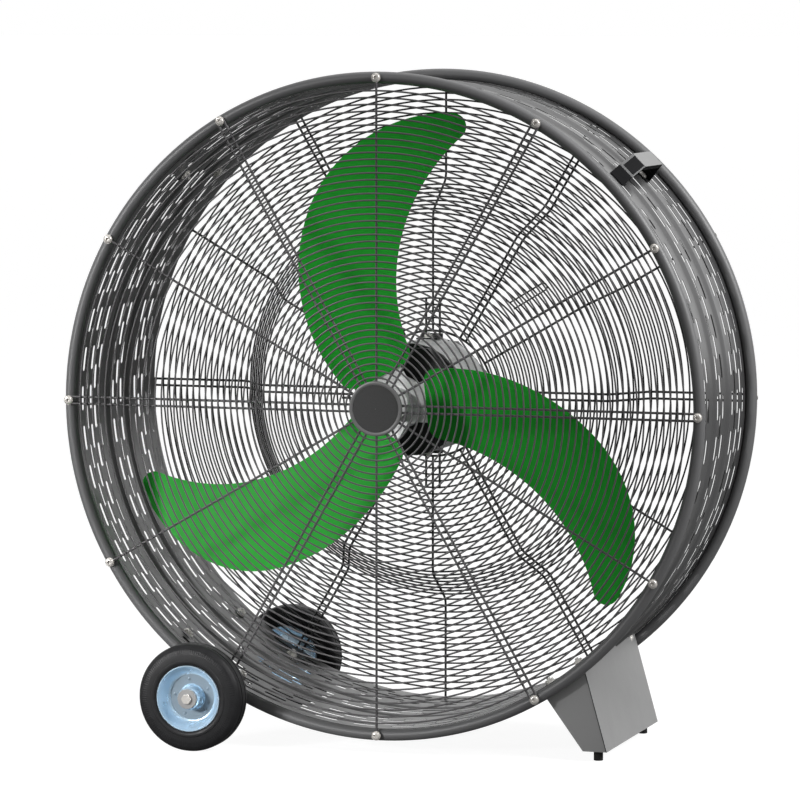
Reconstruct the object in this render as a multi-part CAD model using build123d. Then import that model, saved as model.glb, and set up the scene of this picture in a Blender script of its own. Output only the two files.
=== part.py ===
from build123d import *
from math import cos, degrees, pi, radians, sin, sqrt, tan
import os

# A wheeled drum fan: a round sheet-metal drum between two tube rims, a wire guard on each face,
# a three-bladed fan on a motor that hangs in the rear guard, two wheels and a foot.
# Millimetres. +X to the right, +Y to the back, +Z up.
# The origin is on the ground, straight under the drum axis, at the middle of the drum's depth.
# Round pieces that are large or come in rows are made of flat faces, which keeps the model light.

# ---- driving dimensions ----------------------------------------------------------------------

DRUM_DIAMETER = 1250.0  # over the rim tubes
DRUM_DEPTH = 435.6  # over the rim tubes
DRUM_SIDES = 60
GROUND_CLEARANCE = 23.5  # under the rim tubes
RIM_TUBE = 21.6
SHEET = 1.5
WELD_GAP = 0.1  # between the drum sheet and the rim tubes
VENT_COUNT = 12  # openings in each row round the drum sheet, which stand for its finer slots
VENT_START = 15.0  # degrees to the first of them
VENT_WIDTH = 56.0  # round the drum
VENT_LENGTH = 72.0  # along the drum, in the outer rows
VENT_MIDDLE_LENGTH = 48.0
VENT_INSET = 31.0  # from the middle of a rim to the outer rows

RING_WIRE = 3.0
RING_SIDES = 24
RING_PITCH = 101.2
RING_INSET = 24.2  # from the middle of a rim to its guard's outermost ring
SPOKE_WIRE = 4.4
HOUR_COUNT = 12  # fixings round each guard, one at every hour of the clock
HAIRPIN_HALF_GAP = 6.5  # a doubled spoke's wires lie this far each side of its bolt
EYE_GAP = 0.4  # between a spoke's eye and its bolt

BADGE_DIAMETER = 103.0
BADGE_RIM = 7.0
BADGE_HEIGHT = 5.5
BADGE_RECESS = 1.5

DISH_OUTER_RADIUS = 412.0  # the rear guard is flat outside this
DISH_INNER_RADIUS = 352.0  # and flat again inside this
DISH_DEPTH = 85.0  # its middle lies this far inside the drum
CENTRE_RING_RADIUS = 121.6
HANGER_HALF_GAP = 13.8
HANGER_REACH = 185.0
HOOK_WIRE = 3.2
HOOK_HALF_WIDTH = 7.2
HOOK_LENGTH = 80.0
HOOK_ANGLE = 31.0
HOOK_START = (158.8, 172.4)

BOLT_SHANK = 7.0  # across its corners, as are the heads
BOLT_HEAD = 16.0
BOLT_HEAD_HEIGHT = 5.0
BOLT_HOLE_GAP = 0.3
HEAD_GAP = 0.1  # between a bolt head and the drum's inside
GUARD_BOLT_GRIP = 12.0  # the length that is screwed into a rim

MOTOR_DIAMETER = 215.0
MOTOR_SIDES = 24
MOTOR_WALL = 4.0
MOTOR_LENGTH = 201.0
MOTOR_FRONT = 33.0  # the motor's front face, ahead of the middle of the drum
BELL_LENGTH = 25.0
BELL_FLANGE = 5.0
BELL_SIDES = 8
STATOR_LENGTH = 90.0
ROTOR_DIAMETER = 122.0
AIR_GAP = 0.6
SHAFT_DIAMETER = 20.0
SHAFT_HOLE_GAP = 2.0
BEARING_DIAMETER = 47.0
BEARING_WIDTH = 14.0
RUNNING_CLEARANCE = 0.04
FIT_CLEARANCE = 0.02
LUG_WIDTH = 42.0
LUG_LENGTH = 40.0
LUG_THICKNESS = 3.0
LUG_BOLT_INSET = 12.0
GLAND_DIAMETER = 24.0
GLAND_LENGTH = 18.0
GLAND_RADIUS = 70.0  # from the axis to the middle of the gland

HUB_BOSS_DIAMETER = 58.0
HUB_BOSS_LENGTH = 48.0
HUB_FRONT = 118.0  # ahead of the middle of the drum
HUB_WAIST_DIAMETER = 100.0
HUB_PLATE = 20.0  # thickness of the round plate that carries the arms
HUB_ARM_WIDTH = 80.0
HUB_ARM_REACH = 104.0
HUB_ARM_THICKNESS = 6.0
HUB_SEAT_GAP = 0.05  # between an arm and its blade, where they are closest
HUB_NUT_GAP = 0.6  # room for the outer studs, which lean a little in their flat arm

BLADE_COUNT = 3
BLADE_TIP_GAP = 48.0  # from the blade's tip to the drum sheet
BLADE_THICKNESS = 3.0
BLADE_ROOT = (58.5, 97.4)  # the middle of its root edge, from the axis and ahead of the drum's middle
# The blade's outline, as shares of its reach from the axis and degrees from its root direction.
BLADE_ROOT_HALF_WIDTH = 0.117
BLADE_FRONT_POINTS = ((0.343, 21.1), (0.709, -5.8))
BLADE_END_POINT = (1.01, -46.7)  # before its corner is rounded
BLADE_REAR_POINT = (0.613, -32.0)
BLADE_ROOT_CORNER = 27.0
BLADE_TIP_CORNER = 25.0
BLADE_RAKE = 9.3  # degrees that the blade leans forward along its root direction
BLADE_PITCH = 17.7  # degrees that its root is turned about that direction
BLADE_ROLL_RADIUS = 917.0  # of the roll that bends the flat sheet
BLADE_ROLL_SKEW = 23.0  # degrees between the roll's axis and the root direction
BLADE_ROLL_ARC = 70.0  # degrees of rolled sheet that the blade is cut from
BLADE_STUD_REACH = 27.5  # from the root edge to the row of studs
BLADE_STUD_PITCH = 26.0

WHEEL_DIAMETER = 203.0
WHEEL_SIDES = 20
WHEEL_WIDTH = 60.0
WHEEL_OFFSET = 284.0  # from the middle of the drum's depth to the middle of the wheel's width
WHEEL_RIM_DIAMETER = 125.0
TYRE_SHOULDER = 9.0
WHEEL_DISC_DIAMETER = 86.0
WHEEL_DISC_RECESS = 22.0
WHEEL_BOSS_DIAMETER = 38.0
WHEEL_BOSS_FLARE = 50.0  # the boss's diameter where it meets the disc
BUSH_WALL = 3.0
BUSH_SIDES = 12
AXLE_DIAMETER = 20.0
AXLE_GAP = 10.0  # between the axle and the rim tubes
CAP_DIAMETER = 38.0
AXLE_BOLT_HEAD = 19.6  # across its corners
CAP_THICKNESS = 4.0
WHEEL_END_PLAY = 0.3
COLLAR_DIAMETER = 32.0
COLLAR_WIDTH = 8.0
BRACKET_BOLT_OFFSET = 147.0
BRACKET_THICKNESS = 5.0
BRACKET_BASE_WIDTH = 40.0
BRACKET_EAR_RADIUS = 18.0
BRACKET_BOLT_ANGLES = (228.1, 240.7)
BRACKET_END_MARGIN = 1.9  # degrees of base past each bolt

HANDLE_ANGLES = (45.0, 135.0)
HANDLE_HEIGHT = 50.5  # over the drum sheet
HANDLE_WIDTH = 34.0
HANDLE_TOP_LENGTH = 127.0
HANDLE_BASE_LENGTH = 152.0
HANDLE_TOE_LENGTH = 24.0
HANDLE_SHEET = 3.0
HANDLE_LIP = 6.0

FOOT_OUTER_ANGLE = -49.7  # where the foot's outer plate meets the drum
FOOT_INNER_ANGLE = -59.1
FOOT_LEAN = 15.6
FOOT_BASE_WIDTH = 46.0
FOOT_HALF_LENGTH = 190.0
FOOT_SHEET = 2.5
FOOT_FLANGE = 28.0
FOOT_TOP = 0.9  # share of the drum's radius where its outline starts, before it is cut to the drum
FOOT_BOLT_OFFSET = 162.0
FOOT_BOLT_INSET = 1.45  # degrees from the foot's plates to its bolts
PAD_HEIGHT = 19.5
PAD_DIAMETER = 18.0
PAD_OFFSET = 163.5

# ---- sizes that follow -----------------------------------------------------------------------

AXIS_HEIGHT = DRUM_DIAMETER / 2 + GROUND_CLEARANCE
RIM_RADIUS = (DRUM_DIAMETER - RIM_TUBE) / 2
RIM_OFFSET = (DRUM_DEPTH - RIM_TUBE) / 2
SHELL_OUTER = RIM_RADIUS - RIM_TUBE / 2 - WELD_GAP
SHELL_INNER = SHELL_OUTER - SHEET
DRUM_FLAT = cos(pi / DRUM_SIDES)  # the drum's flats lie this much closer in than its corners
INNER_SEAT = SHELL_INNER * DRUM_FLAT - HEAD_GAP  # where bolt heads lie inside the drum
OUTER_SEAT = SHELL_OUTER + FIT_CLEARANCE  # corners of what follows the drum's outside
VENT_OFFSET = RIM_OFFSET - VENT_INSET - VENT_LENGTH / 2
OUTER_RING_RADIUS = RIM_RADIUS - RING_INSET
HANDLE_SEAT = SHELL_OUTER * DRUM_FLAT + FIT_CLEARANCE  # a handle lies on one flat
EYE_RADIUS = (BOLT_SHANK / 2 + EYE_GAP) / cos(pi / 6)  # to the corners of a six-sided eye
SINGLE_SPOKE_END = RIM_RADIUS - (EYE_RADIUS + SPOKE_WIRE) * cos(pi / 6)
PAIR_SPOKE_END = RIM_RADIUS + BOLT_SHANK / 2 + EYE_GAP + SPOKE_WIRE
GUARD_FACE = DRUM_DEPTH / 2
SPOKE_HEIGHT = GUARD_FACE + SPOKE_WIRE / 2
RING_HEIGHT = GUARD_FACE + SPOKE_WIRE + RING_WIRE / 2
DISH_FLOOR = SPOKE_HEIGHT - DISH_DEPTH
CENTRE_RING_HEIGHT = DISH_FLOOR - SPOKE_WIRE
BLADE_TIP = SHELL_INNER - BLADE_TIP_GAP
MOTOR_RADIUS = MOTOR_DIAMETER / 2
MOTOR_FLAT_RADIUS = MOTOR_RADIUS * cos(pi / MOTOR_SIDES)
MOTOR_REAR = MOTOR_FRONT - MOTOR_LENGTH
SHAFT_RADIUS = SHAFT_DIAMETER / 2
ROTOR_MIDDLE = MOTOR_FRONT - MOTOR_LENGTH / 2
AXLE_RADIUS = AXLE_DIAMETER / 2
AXLE_ORBIT = DRUM_DIAMETER / 2 + AXLE_GAP + AXLE_RADIUS
AXLE_HEIGHT = WHEEL_DIAMETER / 2
AXLE_X = -sqrt(AXLE_ORBIT**2 - (AXIS_HEIGHT - AXLE_HEIGHT) ** 2)
AXLE_END = WHEEL_OFFSET + WHEEL_WIDTH / 2 + WHEEL_END_PLAY
HANDLE_BOLT_OFFSET = (HANDLE_BASE_LENGTH + HANDLE_TOE_LENGTH) / 2
FOOT_BOLT_ANGLES = (FOOT_OUTER_ANGLE - FOOT_BOLT_INSET, FOOT_INNER_ANGLE + FOOT_BOLT_INSET)

# The drum's own frame: x to the right, y up and z to the front, with the drum axis as its z axis.
DRUM = Plane(origin=(0, 0, AXIS_HEIGHT), x_dir=(1, 0, 0), z_dir=(0, -1, 0))
# The wheels' frame has its z axis along the axle, to the front.
AXLE = Plane(origin=(AXLE_X, 0, AXLE_HEIGHT), x_dir=(1, 0, 0), z_dir=(0, -1, 0))


# ---- shared forms ----------------------------------------------------------------------------


def polar(radius, angle, height=0.0):
    """A point at a radius and an angle round the z axis, the angle in degrees from +x."""
    return Vector(radius * cos(radians(angle)), radius * sin(radians(angle)), height)


def flat_sided(profile, sides):
    """A ring of flat faces round the z axis, from its profile's corners in radius and height."""
    angles = [360 / sides * side for side in range(sides)]
    turns = [[polar(radius, angle, height) for radius, height in profile] for angle in angles]
    faces = []
    for here, there in zip(turns, turns[1:] + turns[:1]):
        for corner in range(len(profile)):
            before = corner - 1
            faces.append(Face(Wire.make_polygon([here[before], here[corner], there[corner], there[before]])))
    return Solid(Shell(faces))


def tube(outer, inner, low, high, sides):
    """A plain flat-sided tube between two heights."""
    return flat_sided([(inner, low), (outer, low), (outer, high), (inner, high)], sides)


def corner_radius(clear_radius, sides):
    """The corner radius of a flat-sided bore that clears a round pin of a given radius."""
    return clear_radius / cos(pi / sides)


def wire_ring(radius, height, wire):
    """A guard ring of square wire, with a corner on every spoke."""
    return tube(radius + wire / 2, radius - wire / 2, height - wire / 2, height + wire / 2, RING_SIDES)


def square_wire(points, wire):
    """A square wire along a line of points in radius and height, in the plane of one spoke."""
    path = Polyline(*[Vector(radius, 0, height) for radius, height in points])
    section = Plane(origin=path @ 0, x_dir=(0, 1, 0), z_dir=path % 0)
    return sweep(section * Rectangle(wire, wire), path=path, transition=Transition.RIGHT)


def hours(odd):
    """The angles of the doubled spokes, at odd hours, or of the single ones, at even hours."""
    step = 360 / HOUR_COUNT
    return [step * turn for turn in range(HOUR_COUNT) if (turn % 2 == 0) == odd]


def radial_plane(angle, radius, height):
    """A plane square to a radius of the drum, its x axis along the drum axis to the front."""
    return Plane(origin=polar(radius, angle, height), x_dir=(0, 0, 1), z_dir=polar(1, angle))


def hex_bar(across_corners, low, high):
    return Pos(0, 0, low) * extrude(RegularPolygon(across_corners / 2, 6), high - low)


def through_bolt(grip):
    """A bolt with its head under its seat and a nut past its grip, along the z axis."""
    head = hex_bar(BOLT_HEAD, -BOLT_HEAD_HEIGHT, 0)
    nut = hex_bar(BOLT_HEAD, grip, grip + BOLT_HEAD_HEIGHT)
    return head + shank(0, grip) + nut


def shank(low, high, gap=0.0):
    """A bolt's square shank along the z axis, or its hole if there is a gap round it."""
    return Pos(0, 0, low) * extrude(RegularPolygon(BOLT_SHANK / 2 + gap, 4), high - low)


def bolt_hole(low, high):
    return shank(low, high, BOLT_HOLE_GAP)


# ---- drum ------------------------------------------------------------------------------------


def sheet_bolt_planes():
    """Where bolts pass through the drum sheet from inside: handles, axle brackets and foot."""
    places = {"handle": [], "bracket": [], "foot": []}
    for side in (-1, 1):
        for angle in HANDLE_ANGLES:
            places["handle"].append(radial_plane(angle, INNER_SEAT, side * HANDLE_BOLT_OFFSET))
        for angle in BRACKET_BOLT_ANGLES:
            places["bracket"].append(radial_plane(angle, INNER_SEAT, side * BRACKET_BOLT_OFFSET))
        for angle in FOOT_BOLT_ANGLES:
            places["foot"].append(radial_plane(angle, INNER_SEAT, side * FOOT_BOLT_OFFSET))
    return places


def vents():
    """Three rows of openings round the drum sheet, each of them within one of its flats."""
    cuts = []
    for height, length in ((-VENT_OFFSET, VENT_LENGTH), (0, VENT_MIDDLE_LENGTH), (VENT_OFFSET, VENT_LENGTH)):
        cut = Box(length, VENT_WIDTH, 4 * SHEET)
        for turn in range(VENT_COUNT):
            cuts.append(radial_plane(VENT_START + 360 / VENT_COUNT * turn, INNER_SEAT, height) * cut)
    return cuts


def drum_shell():
    """The drum sheet, with its vents and the holes of the bolts that pass through it."""
    sheet = tube(SHELL_OUTER, SHELL_INNER, -RIM_OFFSET, RIM_OFFSET, DRUM_SIDES)
    holes = [plane * bolt_hole(-SHEET, 3 * SHEET) for planes in BOLT_PLANES.values() for plane in planes]
    return sheet - holes - vents()


def sheet_bolts(kind, outer_seat):
    """The bolts of one kind, heads inside the drum and nuts on what they hold outside."""
    grip = outer_seat - INNER_SEAT
    return Compound([plane * through_bolt(grip) for plane in BOLT_PLANES[kind]])


def drum_band(thickness, first, last):
    """A curved strip of sheet on the drum's outside between two angles, as a flat outline."""
    outer = OUTER_SEAT + thickness
    wedge = make_face(Polyline((0, 0), 2 * polar(outer, first), 2 * polar(outer, last), close=True))
    return (RegularPolygon(outer, DRUM_SIDES) - RegularPolygon(OUTER_SEAT, DRUM_SIDES)) & wedge


def rim(height):
    """A rim tube of six sides, with a flat against the drum sheet."""
    half = RIM_TUBE / 2
    flat = half * tan(pi / 6)
    corners = [(half, -flat), (half, flat), (0, half)]
    corners += [(-across, -up) for across, up in corners]
    return flat_sided([(RIM_RADIUS + across, height + up) for across, up in corners], DRUM_SIDES)


# ---- guards ----------------------------------------------------------------------------------


def spoke_eye(height):
    """The eye of a single spoke, round its bolt, for a spoke along the x axis."""
    low, high = height - SPOKE_WIRE / 2, height + SPOKE_WIRE / 2
    return Pos(RIM_RADIUS, 0, 0) * Rot(0, 0, 30) * tube(EYE_RADIUS + SPOKE_WIRE, EYE_RADIUS, low, high, 6)


def hairpin_bend(height):
    """The bend that joins the two wires of a doubled spoke, just outside its bolt."""
    width = 2 * HAIRPIN_HALF_GAP - SPOKE_WIRE
    return Pos(PAIR_SPOKE_END - SPOKE_WIRE / 2, 0, height) * Box(SPOKE_WIRE, width, SPOKE_WIRE)


def spokes(single_route, pair_route):
    """All the spokes of a guard, from their routes in radius and height, outer end first."""
    pieces = []
    height = single_route[0][1]
    for angle in hours(odd=False):
        pieces.append(Rot(0, 0, angle) * square_wire(single_route, SPOKE_WIRE))
        pieces.append(Rot(0, 0, angle) * spoke_eye(height))
    for angle in hours(odd=True):
        for side in (-HAIRPIN_HALF_GAP, HAIRPIN_HALF_GAP):
            pieces.append(Rot(0, 0, angle) * Pos(0, side, 0) * square_wire(pair_route, SPOKE_WIRE))
        pieces.append(Rot(0, 0, angle) * hairpin_bend(height))
    return pieces


def ring_radii(outer, inner):
    count = int((outer - inner) / RING_PITCH) + 1
    return [outer - RING_PITCH * turn for turn in range(count)]


def front_guard_rings():
    radii = ring_radii(OUTER_RING_RADIUS, BADGE_DIAMETER / 2)
    return Compound([wire_ring(radius, RING_HEIGHT, RING_WIRE) for radius in radii])


def front_guard_spokes():
    inner_end = BADGE_DIAMETER / 2 - BADGE_RIM
    single = [(SINGLE_SPOKE_END, SPOKE_HEIGHT), (inner_end, SPOKE_HEIGHT)]
    pair = [(PAIR_SPOKE_END, SPOKE_HEIGHT), (inner_end, SPOKE_HEIGHT)]
    return Compound(spokes(single, pair))


def rear_guard_rings():
    """Rings behind the flat outer part of the rear guard and behind the floor of its dish."""
    flat = ring_radii(OUTER_RING_RADIUS, DISH_OUTER_RADIUS)
    floor = ring_radii(DISH_INNER_RADIUS - RING_WIRE, CENTRE_RING_RADIUS + RING_WIRE)
    rings = [wire_ring(radius, -RING_HEIGHT, RING_WIRE) for radius in flat]
    rings += [wire_ring(radius, DISH_DEPTH - RING_HEIGHT, RING_WIRE) for radius in floor]
    rings.append(wire_ring(CENTRE_RING_RADIUS, -CENTRE_RING_HEIGHT, SPOKE_WIRE))
    return Compound(rings)


def rear_guard_spokes():
    """Spokes that run in from the rim, down the side of the dish and across its floor."""
    dish = [
        (DISH_OUTER_RADIUS, -SPOKE_HEIGHT),
        (DISH_INNER_RADIUS, -DISH_FLOOR),
        (CENTRE_RING_RADIUS - SPOKE_WIRE / 2, -DISH_FLOOR),
    ]
    single = [(SINGLE_SPOKE_END, -SPOKE_HEIGHT)] + dish
    pair = [(PAIR_SPOKE_END, -SPOKE_HEIGHT)] + dish
    return Compound(spokes(single, pair))


def hanger_rods():
    """Paired rods beside the spokes at the quarters, which carry the motor's lugs."""
    start = MOTOR_RADIUS + LUG_THICKNESS
    rods = []
    for angle in range(0, 360, 90):
        for side in (-HANGER_HALF_GAP, HANGER_HALF_GAP):
            bar = square_wire([(start, -DISH_FLOOR), (HANGER_REACH, -DISH_FLOOR)], SPOKE_WIRE)
            rods.append(Rot(0, 0, angle) * Pos(0, side, 0) * bar)
    return Compound(rods)


def cord_hook():
    """A long wire loop welded to the front of the dished guard's rings, on which a cord can be hung."""
    half, bend = HOOK_HALF_WIDTH, HOOK_HALF_WIDTH / 2
    side = [(0, half), (HOOK_LENGTH - bend, half), (HOOK_LENGTH, bend)]
    path = Polyline(*side, *[(along, -across) for along, across in reversed(side)])
    section = Plane(origin=path @ 0, x_dir=(0, 0, 1), z_dir=path % 0)
    loop = sweep(section * Rectangle(HOOK_WIRE, HOOK_WIRE), path=path, transition=Transition.RIGHT)
    height = -DISH_FLOOR - SPOKE_WIRE / 2 + HOOK_WIRE / 2
    return Pos(HOOK_START[0], HOOK_START[1], height) * Rot(0, 0, HOOK_ANGLE) * loop


def guard_badge():
    seat = GUARD_FACE + SPOKE_WIRE
    disc = extrude(RegularPolygon(BADGE_DIAMETER / 2, MOTOR_SIDES), BADGE_HEIGHT)
    recess = extrude(RegularPolygon(BADGE_DIAMETER / 2 - BADGE_RIM, MOTOR_SIDES), BADGE_RECESS)
    return Pos(0, 0, seat) * (disc - Pos(0, 0, BADGE_HEIGHT - BADGE_RECESS) * recess)


def guard_bolts(face):
    """The screws that hold a guard to its rim, face being +1 at the front and -1 at the rear."""
    seat = GUARD_FACE + SPOKE_WIRE
    screw = hex_bar(BOLT_HEAD, seat, seat + BOLT_HEAD_HEIGHT) + shank(GUARD_FACE - GUARD_BOLT_GRIP, seat)
    if face < 0:
        screw = Rot(180, 0, 0) * screw
    turns = [Rot(0, 0, 360 / HOUR_COUNT * turn) for turn in range(HOUR_COUNT)]
    return Compound([turn * Pos(RIM_RADIUS, 0, 0) * screw for turn in turns])


# ---- motor -----------------------------------------------------------------------------------


def motor_ring(outer, inner, low, high):
    """A tube of the motor's own sides, with a flat at every quarter for the lugs."""
    return Rot(0, 0, 180 / MOTOR_SIDES) * tube(outer, inner, low, high, MOTOR_SIDES)


def motor_housing():
    low, high = MOTOR_REAR + BELL_LENGTH, MOTOR_FRONT - BELL_LENGTH
    return motor_ring(MOTOR_RADIUS, MOTOR_RADIUS - MOTOR_WALL, low, high)


def end_bell():
    """An end bell with its outer face at height 0, a round flange and its bearing's seat behind it."""
    pocket = corner_radius(BEARING_DIAMETER / 2 + FIT_CLEARANCE, BUSH_SIDES)
    flange = motor_ring(MOTOR_RADIUS, pocket, -BELL_LENGTH, BELL_FLANGE - BELL_LENGTH)
    cap = Rot(0, 0, 180 / BELL_SIDES) * extrude(RegularPolygon(MOTOR_RADIUS, BELL_SIDES), -BELL_LENGTH)
    cap -= Pos(0, 0, -BELL_LENGTH) * extrude(RegularPolygon(pocket, BUSH_SIDES), BEARING_WIDTH)
    hole = extrude(RegularPolygon(SHAFT_RADIUS + SHAFT_HOLE_GAP, BUSH_SIDES), -BELL_LENGTH)
    return flange + cap - hole


def motor_front_bell():
    return Pos(0, 0, MOTOR_FRONT) * end_bell()


def motor_rear_bell():
    return Pos(0, 0, MOTOR_REAR) * Rot(180, 0, 0) * end_bell()


def motor_bearings():
    inner = corner_radius(SHAFT_RADIUS + RUNNING_CLEARANCE, BUSH_SIDES)
    lows = (MOTOR_FRONT - BELL_LENGTH, MOTOR_REAR + BELL_LENGTH - BEARING_WIDTH)
    return Compound([tube(BEARING_DIAMETER / 2, inner, low, low + BEARING_WIDTH, BUSH_SIDES) for low in lows])


def stator():
    """The stator's iron, whose corners stand in every second corner of the housing."""
    outer = MOTOR_RADIUS - MOTOR_WALL - FIT_CLEARANCE
    inner = corner_radius(ROTOR_DIAMETER / 2 + AIR_GAP, BUSH_SIDES)
    low, high = ROTOR_MIDDLE - STATOR_LENGTH / 2, ROTOR_MIDDLE + STATOR_LENGTH / 2
    return Rot(0, 0, 180 / MOTOR_SIDES) * tube(outer, inner, low, high, BUSH_SIDES)


def lug_planes():
    """One plane for each quarter, flat on the motor's side under a lug."""
    height = -DISH_FLOOR + SPOKE_WIRE / 2
    return [radial_plane(angle, MOTOR_FLAT_RADIUS, height) for angle in range(0, 360, 90)]


def motor_lugs():
    """Angle plates that are bolted to the motor's side and welded to the hanger rods."""
    sole = Pos(LUG_LENGTH / 2, 0, LUG_THICKNESS / 2) * Box(LUG_LENGTH, LUG_WIDTH, LUG_THICKNESS)
    inside_ring = CENTRE_RING_RADIUS - SPOKE_WIRE / 2 - LUG_WIDTH / 2 * tan(pi / RING_SIDES)
    tall = inside_ring - MOTOR_FLAT_RADIUS - FIT_CLEARANCE
    upright = Pos(LUG_THICKNESS / 2, 0, tall / 2) * Box(LUG_THICKNESS, LUG_WIDTH, tall)
    hole = Pos(LUG_LENGTH - LUG_BOLT_INSET, 0, 0) * bolt_hole(-1, LUG_THICKNESS + 1)
    lug = sole + upright - hole
    return Compound([plane * lug for plane in lug_planes()])


def motor_bolts():
    """Nuts on the studs of the motor's side, which hold its lugs."""
    nut = hex_bar(BOLT_HEAD, LUG_THICKNESS, LUG_THICKNESS + BOLT_HEAD_HEIGHT)
    stud = Pos(LUG_LENGTH - LUG_BOLT_INSET, 0, 0) * (nut + shank(0, LUG_THICKNESS))
    return Compound([plane * stud for plane in lug_planes()])


def cable_gland():
    """The motor's cable entry, low on its rear bell."""
    body = hex_bar(GLAND_DIAMETER, 0, GLAND_LENGTH / 2)
    nose = Pos(0, 0, GLAND_LENGTH / 2) * extrude(RegularPolygon(GLAND_DIAMETER / 3, 12), GLAND_LENGTH / 2)
    return Pos(0, -GLAND_RADIUS, MOTOR_REAR) * Rot(180, 0, 0) * (body + nose)


# ---- fan -------------------------------------------------------------------------------------


def blade_place():
    """The middle of the blade's root edge, its x axis along the roll and its z axis to the front."""
    lean = Rot(0, -BLADE_RAKE, 0) * Rot(BLADE_PITCH, 0, 0) * Rot(0, 0, -BLADE_ROLL_SKEW)
    return Pos(BLADE_ROOT[0], 0, BLADE_ROOT[1]) * lean


def rolled_sheet(skip, thickness):
    """Rolled sheet that starts a distance behind the blade's front face, to cut a piece from."""
    radius = BLADE_ROLL_RADIUS + skip + thickness / 2
    curve = CenterArc((0, BLADE_ROLL_RADIUS), radius, 270 - BLADE_ROLL_ARC / 2, BLADE_ROLL_ARC)
    strip = extrude(Plane.YZ * trace(curve, thickness), DRUM_DIAMETER / 2, both=True)
    return blade_place() * strip


def blade_outline():
    """The sickle shape of a blade, its root square to the x axis."""
    root_front = Vector(BLADE_ROOT[0], BLADE_ROOT_HALF_WIDTH * BLADE_TIP)
    root_rear = Vector(BLADE_ROOT[0], -BLADE_ROOT_HALF_WIDTH * BLADE_TIP)
    points = (*BLADE_FRONT_POINTS, BLADE_END_POINT, BLADE_REAR_POINT)
    swell, bend, end, hollow = [polar(share * BLADE_TIP, angle) for share, angle in points]
    front = ThreePointArc(root_front, swell, bend)
    front_end = TangentArc(bend, end, tangent=front % 1)
    rear = ThreePointArc(end, hollow, root_rear)
    root = Line(root_rear, root_front)
    outline = make_face([front, front_end, rear, root])
    outline = fillet(outline.vertices().sort_by(Axis.X)[:2], BLADE_ROOT_CORNER)
    point = outline.vertices().sort_by_distance(end)[0]
    return fillet(point, BLADE_TIP_CORNER)


def turned(piece, turn):
    return Rot(0, 0, 360 / BLADE_COUNT * turn) * piece


def blade(turn):
    prism = extrude(blade_outline(), DRUM_DEPTH / 2)
    return turned(rolled_sheet(0, BLADE_THICKNESS) & prism, turn)


def stud_places(depth):
    """Where the studs stand, at a depth behind the blade's front face and square to it."""
    places = []
    for across in (-BLADE_STUD_PITCH, 0, BLADE_STUD_PITCH):
        spot = Vector(BLADE_STUD_REACH, across).rotate(Axis.Z, BLADE_ROLL_SKEW)
        round_roll = Pos(0, 0, BLADE_ROLL_RADIUS) * Rot(degrees(spot.Y / BLADE_ROLL_RADIUS), 0, 0)
        places.append(blade_place() * round_roll * Pos(spot.X, 0, -BLADE_ROLL_RADIUS - depth))
    return places


def fan_hub():
    """A cast hub: a boss and a round plate on the shaft, and a flat arm behind each blade's root."""
    low = HUB_FRONT - HUB_BOSS_LENGTH
    boss = extrude(RegularPolygon(HUB_BOSS_DIAMETER / 2, MOTOR_SIDES), HUB_BOSS_LENGTH)
    plate = extrude(RegularPolygon(HUB_WAIST_DIAMETER / 2, MOTOR_SIDES), HUB_PLATE)
    seats = stud_places(BLADE_THICKNESS + HUB_SEAT_GAP)
    stud_radius = BLADE_ROOT[0] + BLADE_STUD_REACH
    reach = HUB_ARM_REACH - SHAFT_DIAMETER
    pad = Pos(HUB_ARM_REACH - stud_radius - reach / 2, 0, -HUB_ARM_THICKNESS / 2)
    arm = seats[1] * Rot(0, 0, BLADE_ROLL_SKEW) * pad * Box(reach, HUB_ARM_WIDTH, HUB_ARM_THICKNESS)
    arm -= [seat * bolt_hole(-2 * HUB_ARM_THICKNESS, HUB_ARM_THICKNESS) for seat in seats]
    arms = [turned(arm, turn) for turn in range(BLADE_COUNT)]
    bore_radius = corner_radius(SHAFT_RADIUS + FIT_CLEARANCE, BUSH_SIDES)
    bore = extrude(RegularPolygon(bore_radius, BUSH_SIDES), DRUM_DEPTH / 2)
    return Pos(0, 0, low) * (boss + plate) + arms - bore


def blade_nuts():
    """Studs on the backs of the blades' roots, with their nuts behind the hub's arms."""
    seat = BLADE_THICKNESS + HUB_ARM_THICKNESS + HUB_NUT_GAP
    fixing = shank(0, seat - BLADE_THICKNESS) + hex_bar(BOLT_HEAD, -BOLT_HEAD_HEIGHT, 0)
    pieces = [place * fixing for place in stud_places(seat)]
    return Compound([turned(piece, turn) for turn in range(BLADE_COUNT) for piece in pieces])


def motor_shaft():
    low = MOTOR_REAR + BELL_LENGTH - BEARING_WIDTH
    return Pos(0, 0, low) * extrude(Circle(SHAFT_RADIUS), HUB_FRONT - low)


def rotor():
    inner = corner_radius(SHAFT_RADIUS + FIT_CLEARANCE, BUSH_SIDES)
    low, high = ROTOR_MIDDLE - STATOR_LENGTH / 2, ROTOR_MIDDLE + STATOR_LENGTH / 2
    return tube(ROTOR_DIAMETER / 2, inner, low, high, BUSH_SIDES)


# ---- wheels ----------------------------------------------------------------------------------


def tyre():
    outer, inner, half = WHEEL_DIAMETER / 2, WHEEL_RIM_DIAMETER / 2, WHEEL_WIDTH / 2
    shoulder = outer - TYRE_SHOULDER
    tread = half - TYRE_SHOULDER
    front = [(outer, tread), (shoulder, half), (inner, half)]
    back = [(radius, -height) for radius, height in reversed(front)]
    return Rot(0, 0, 90) * flat_sided(back + front, WHEEL_SIDES)


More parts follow.
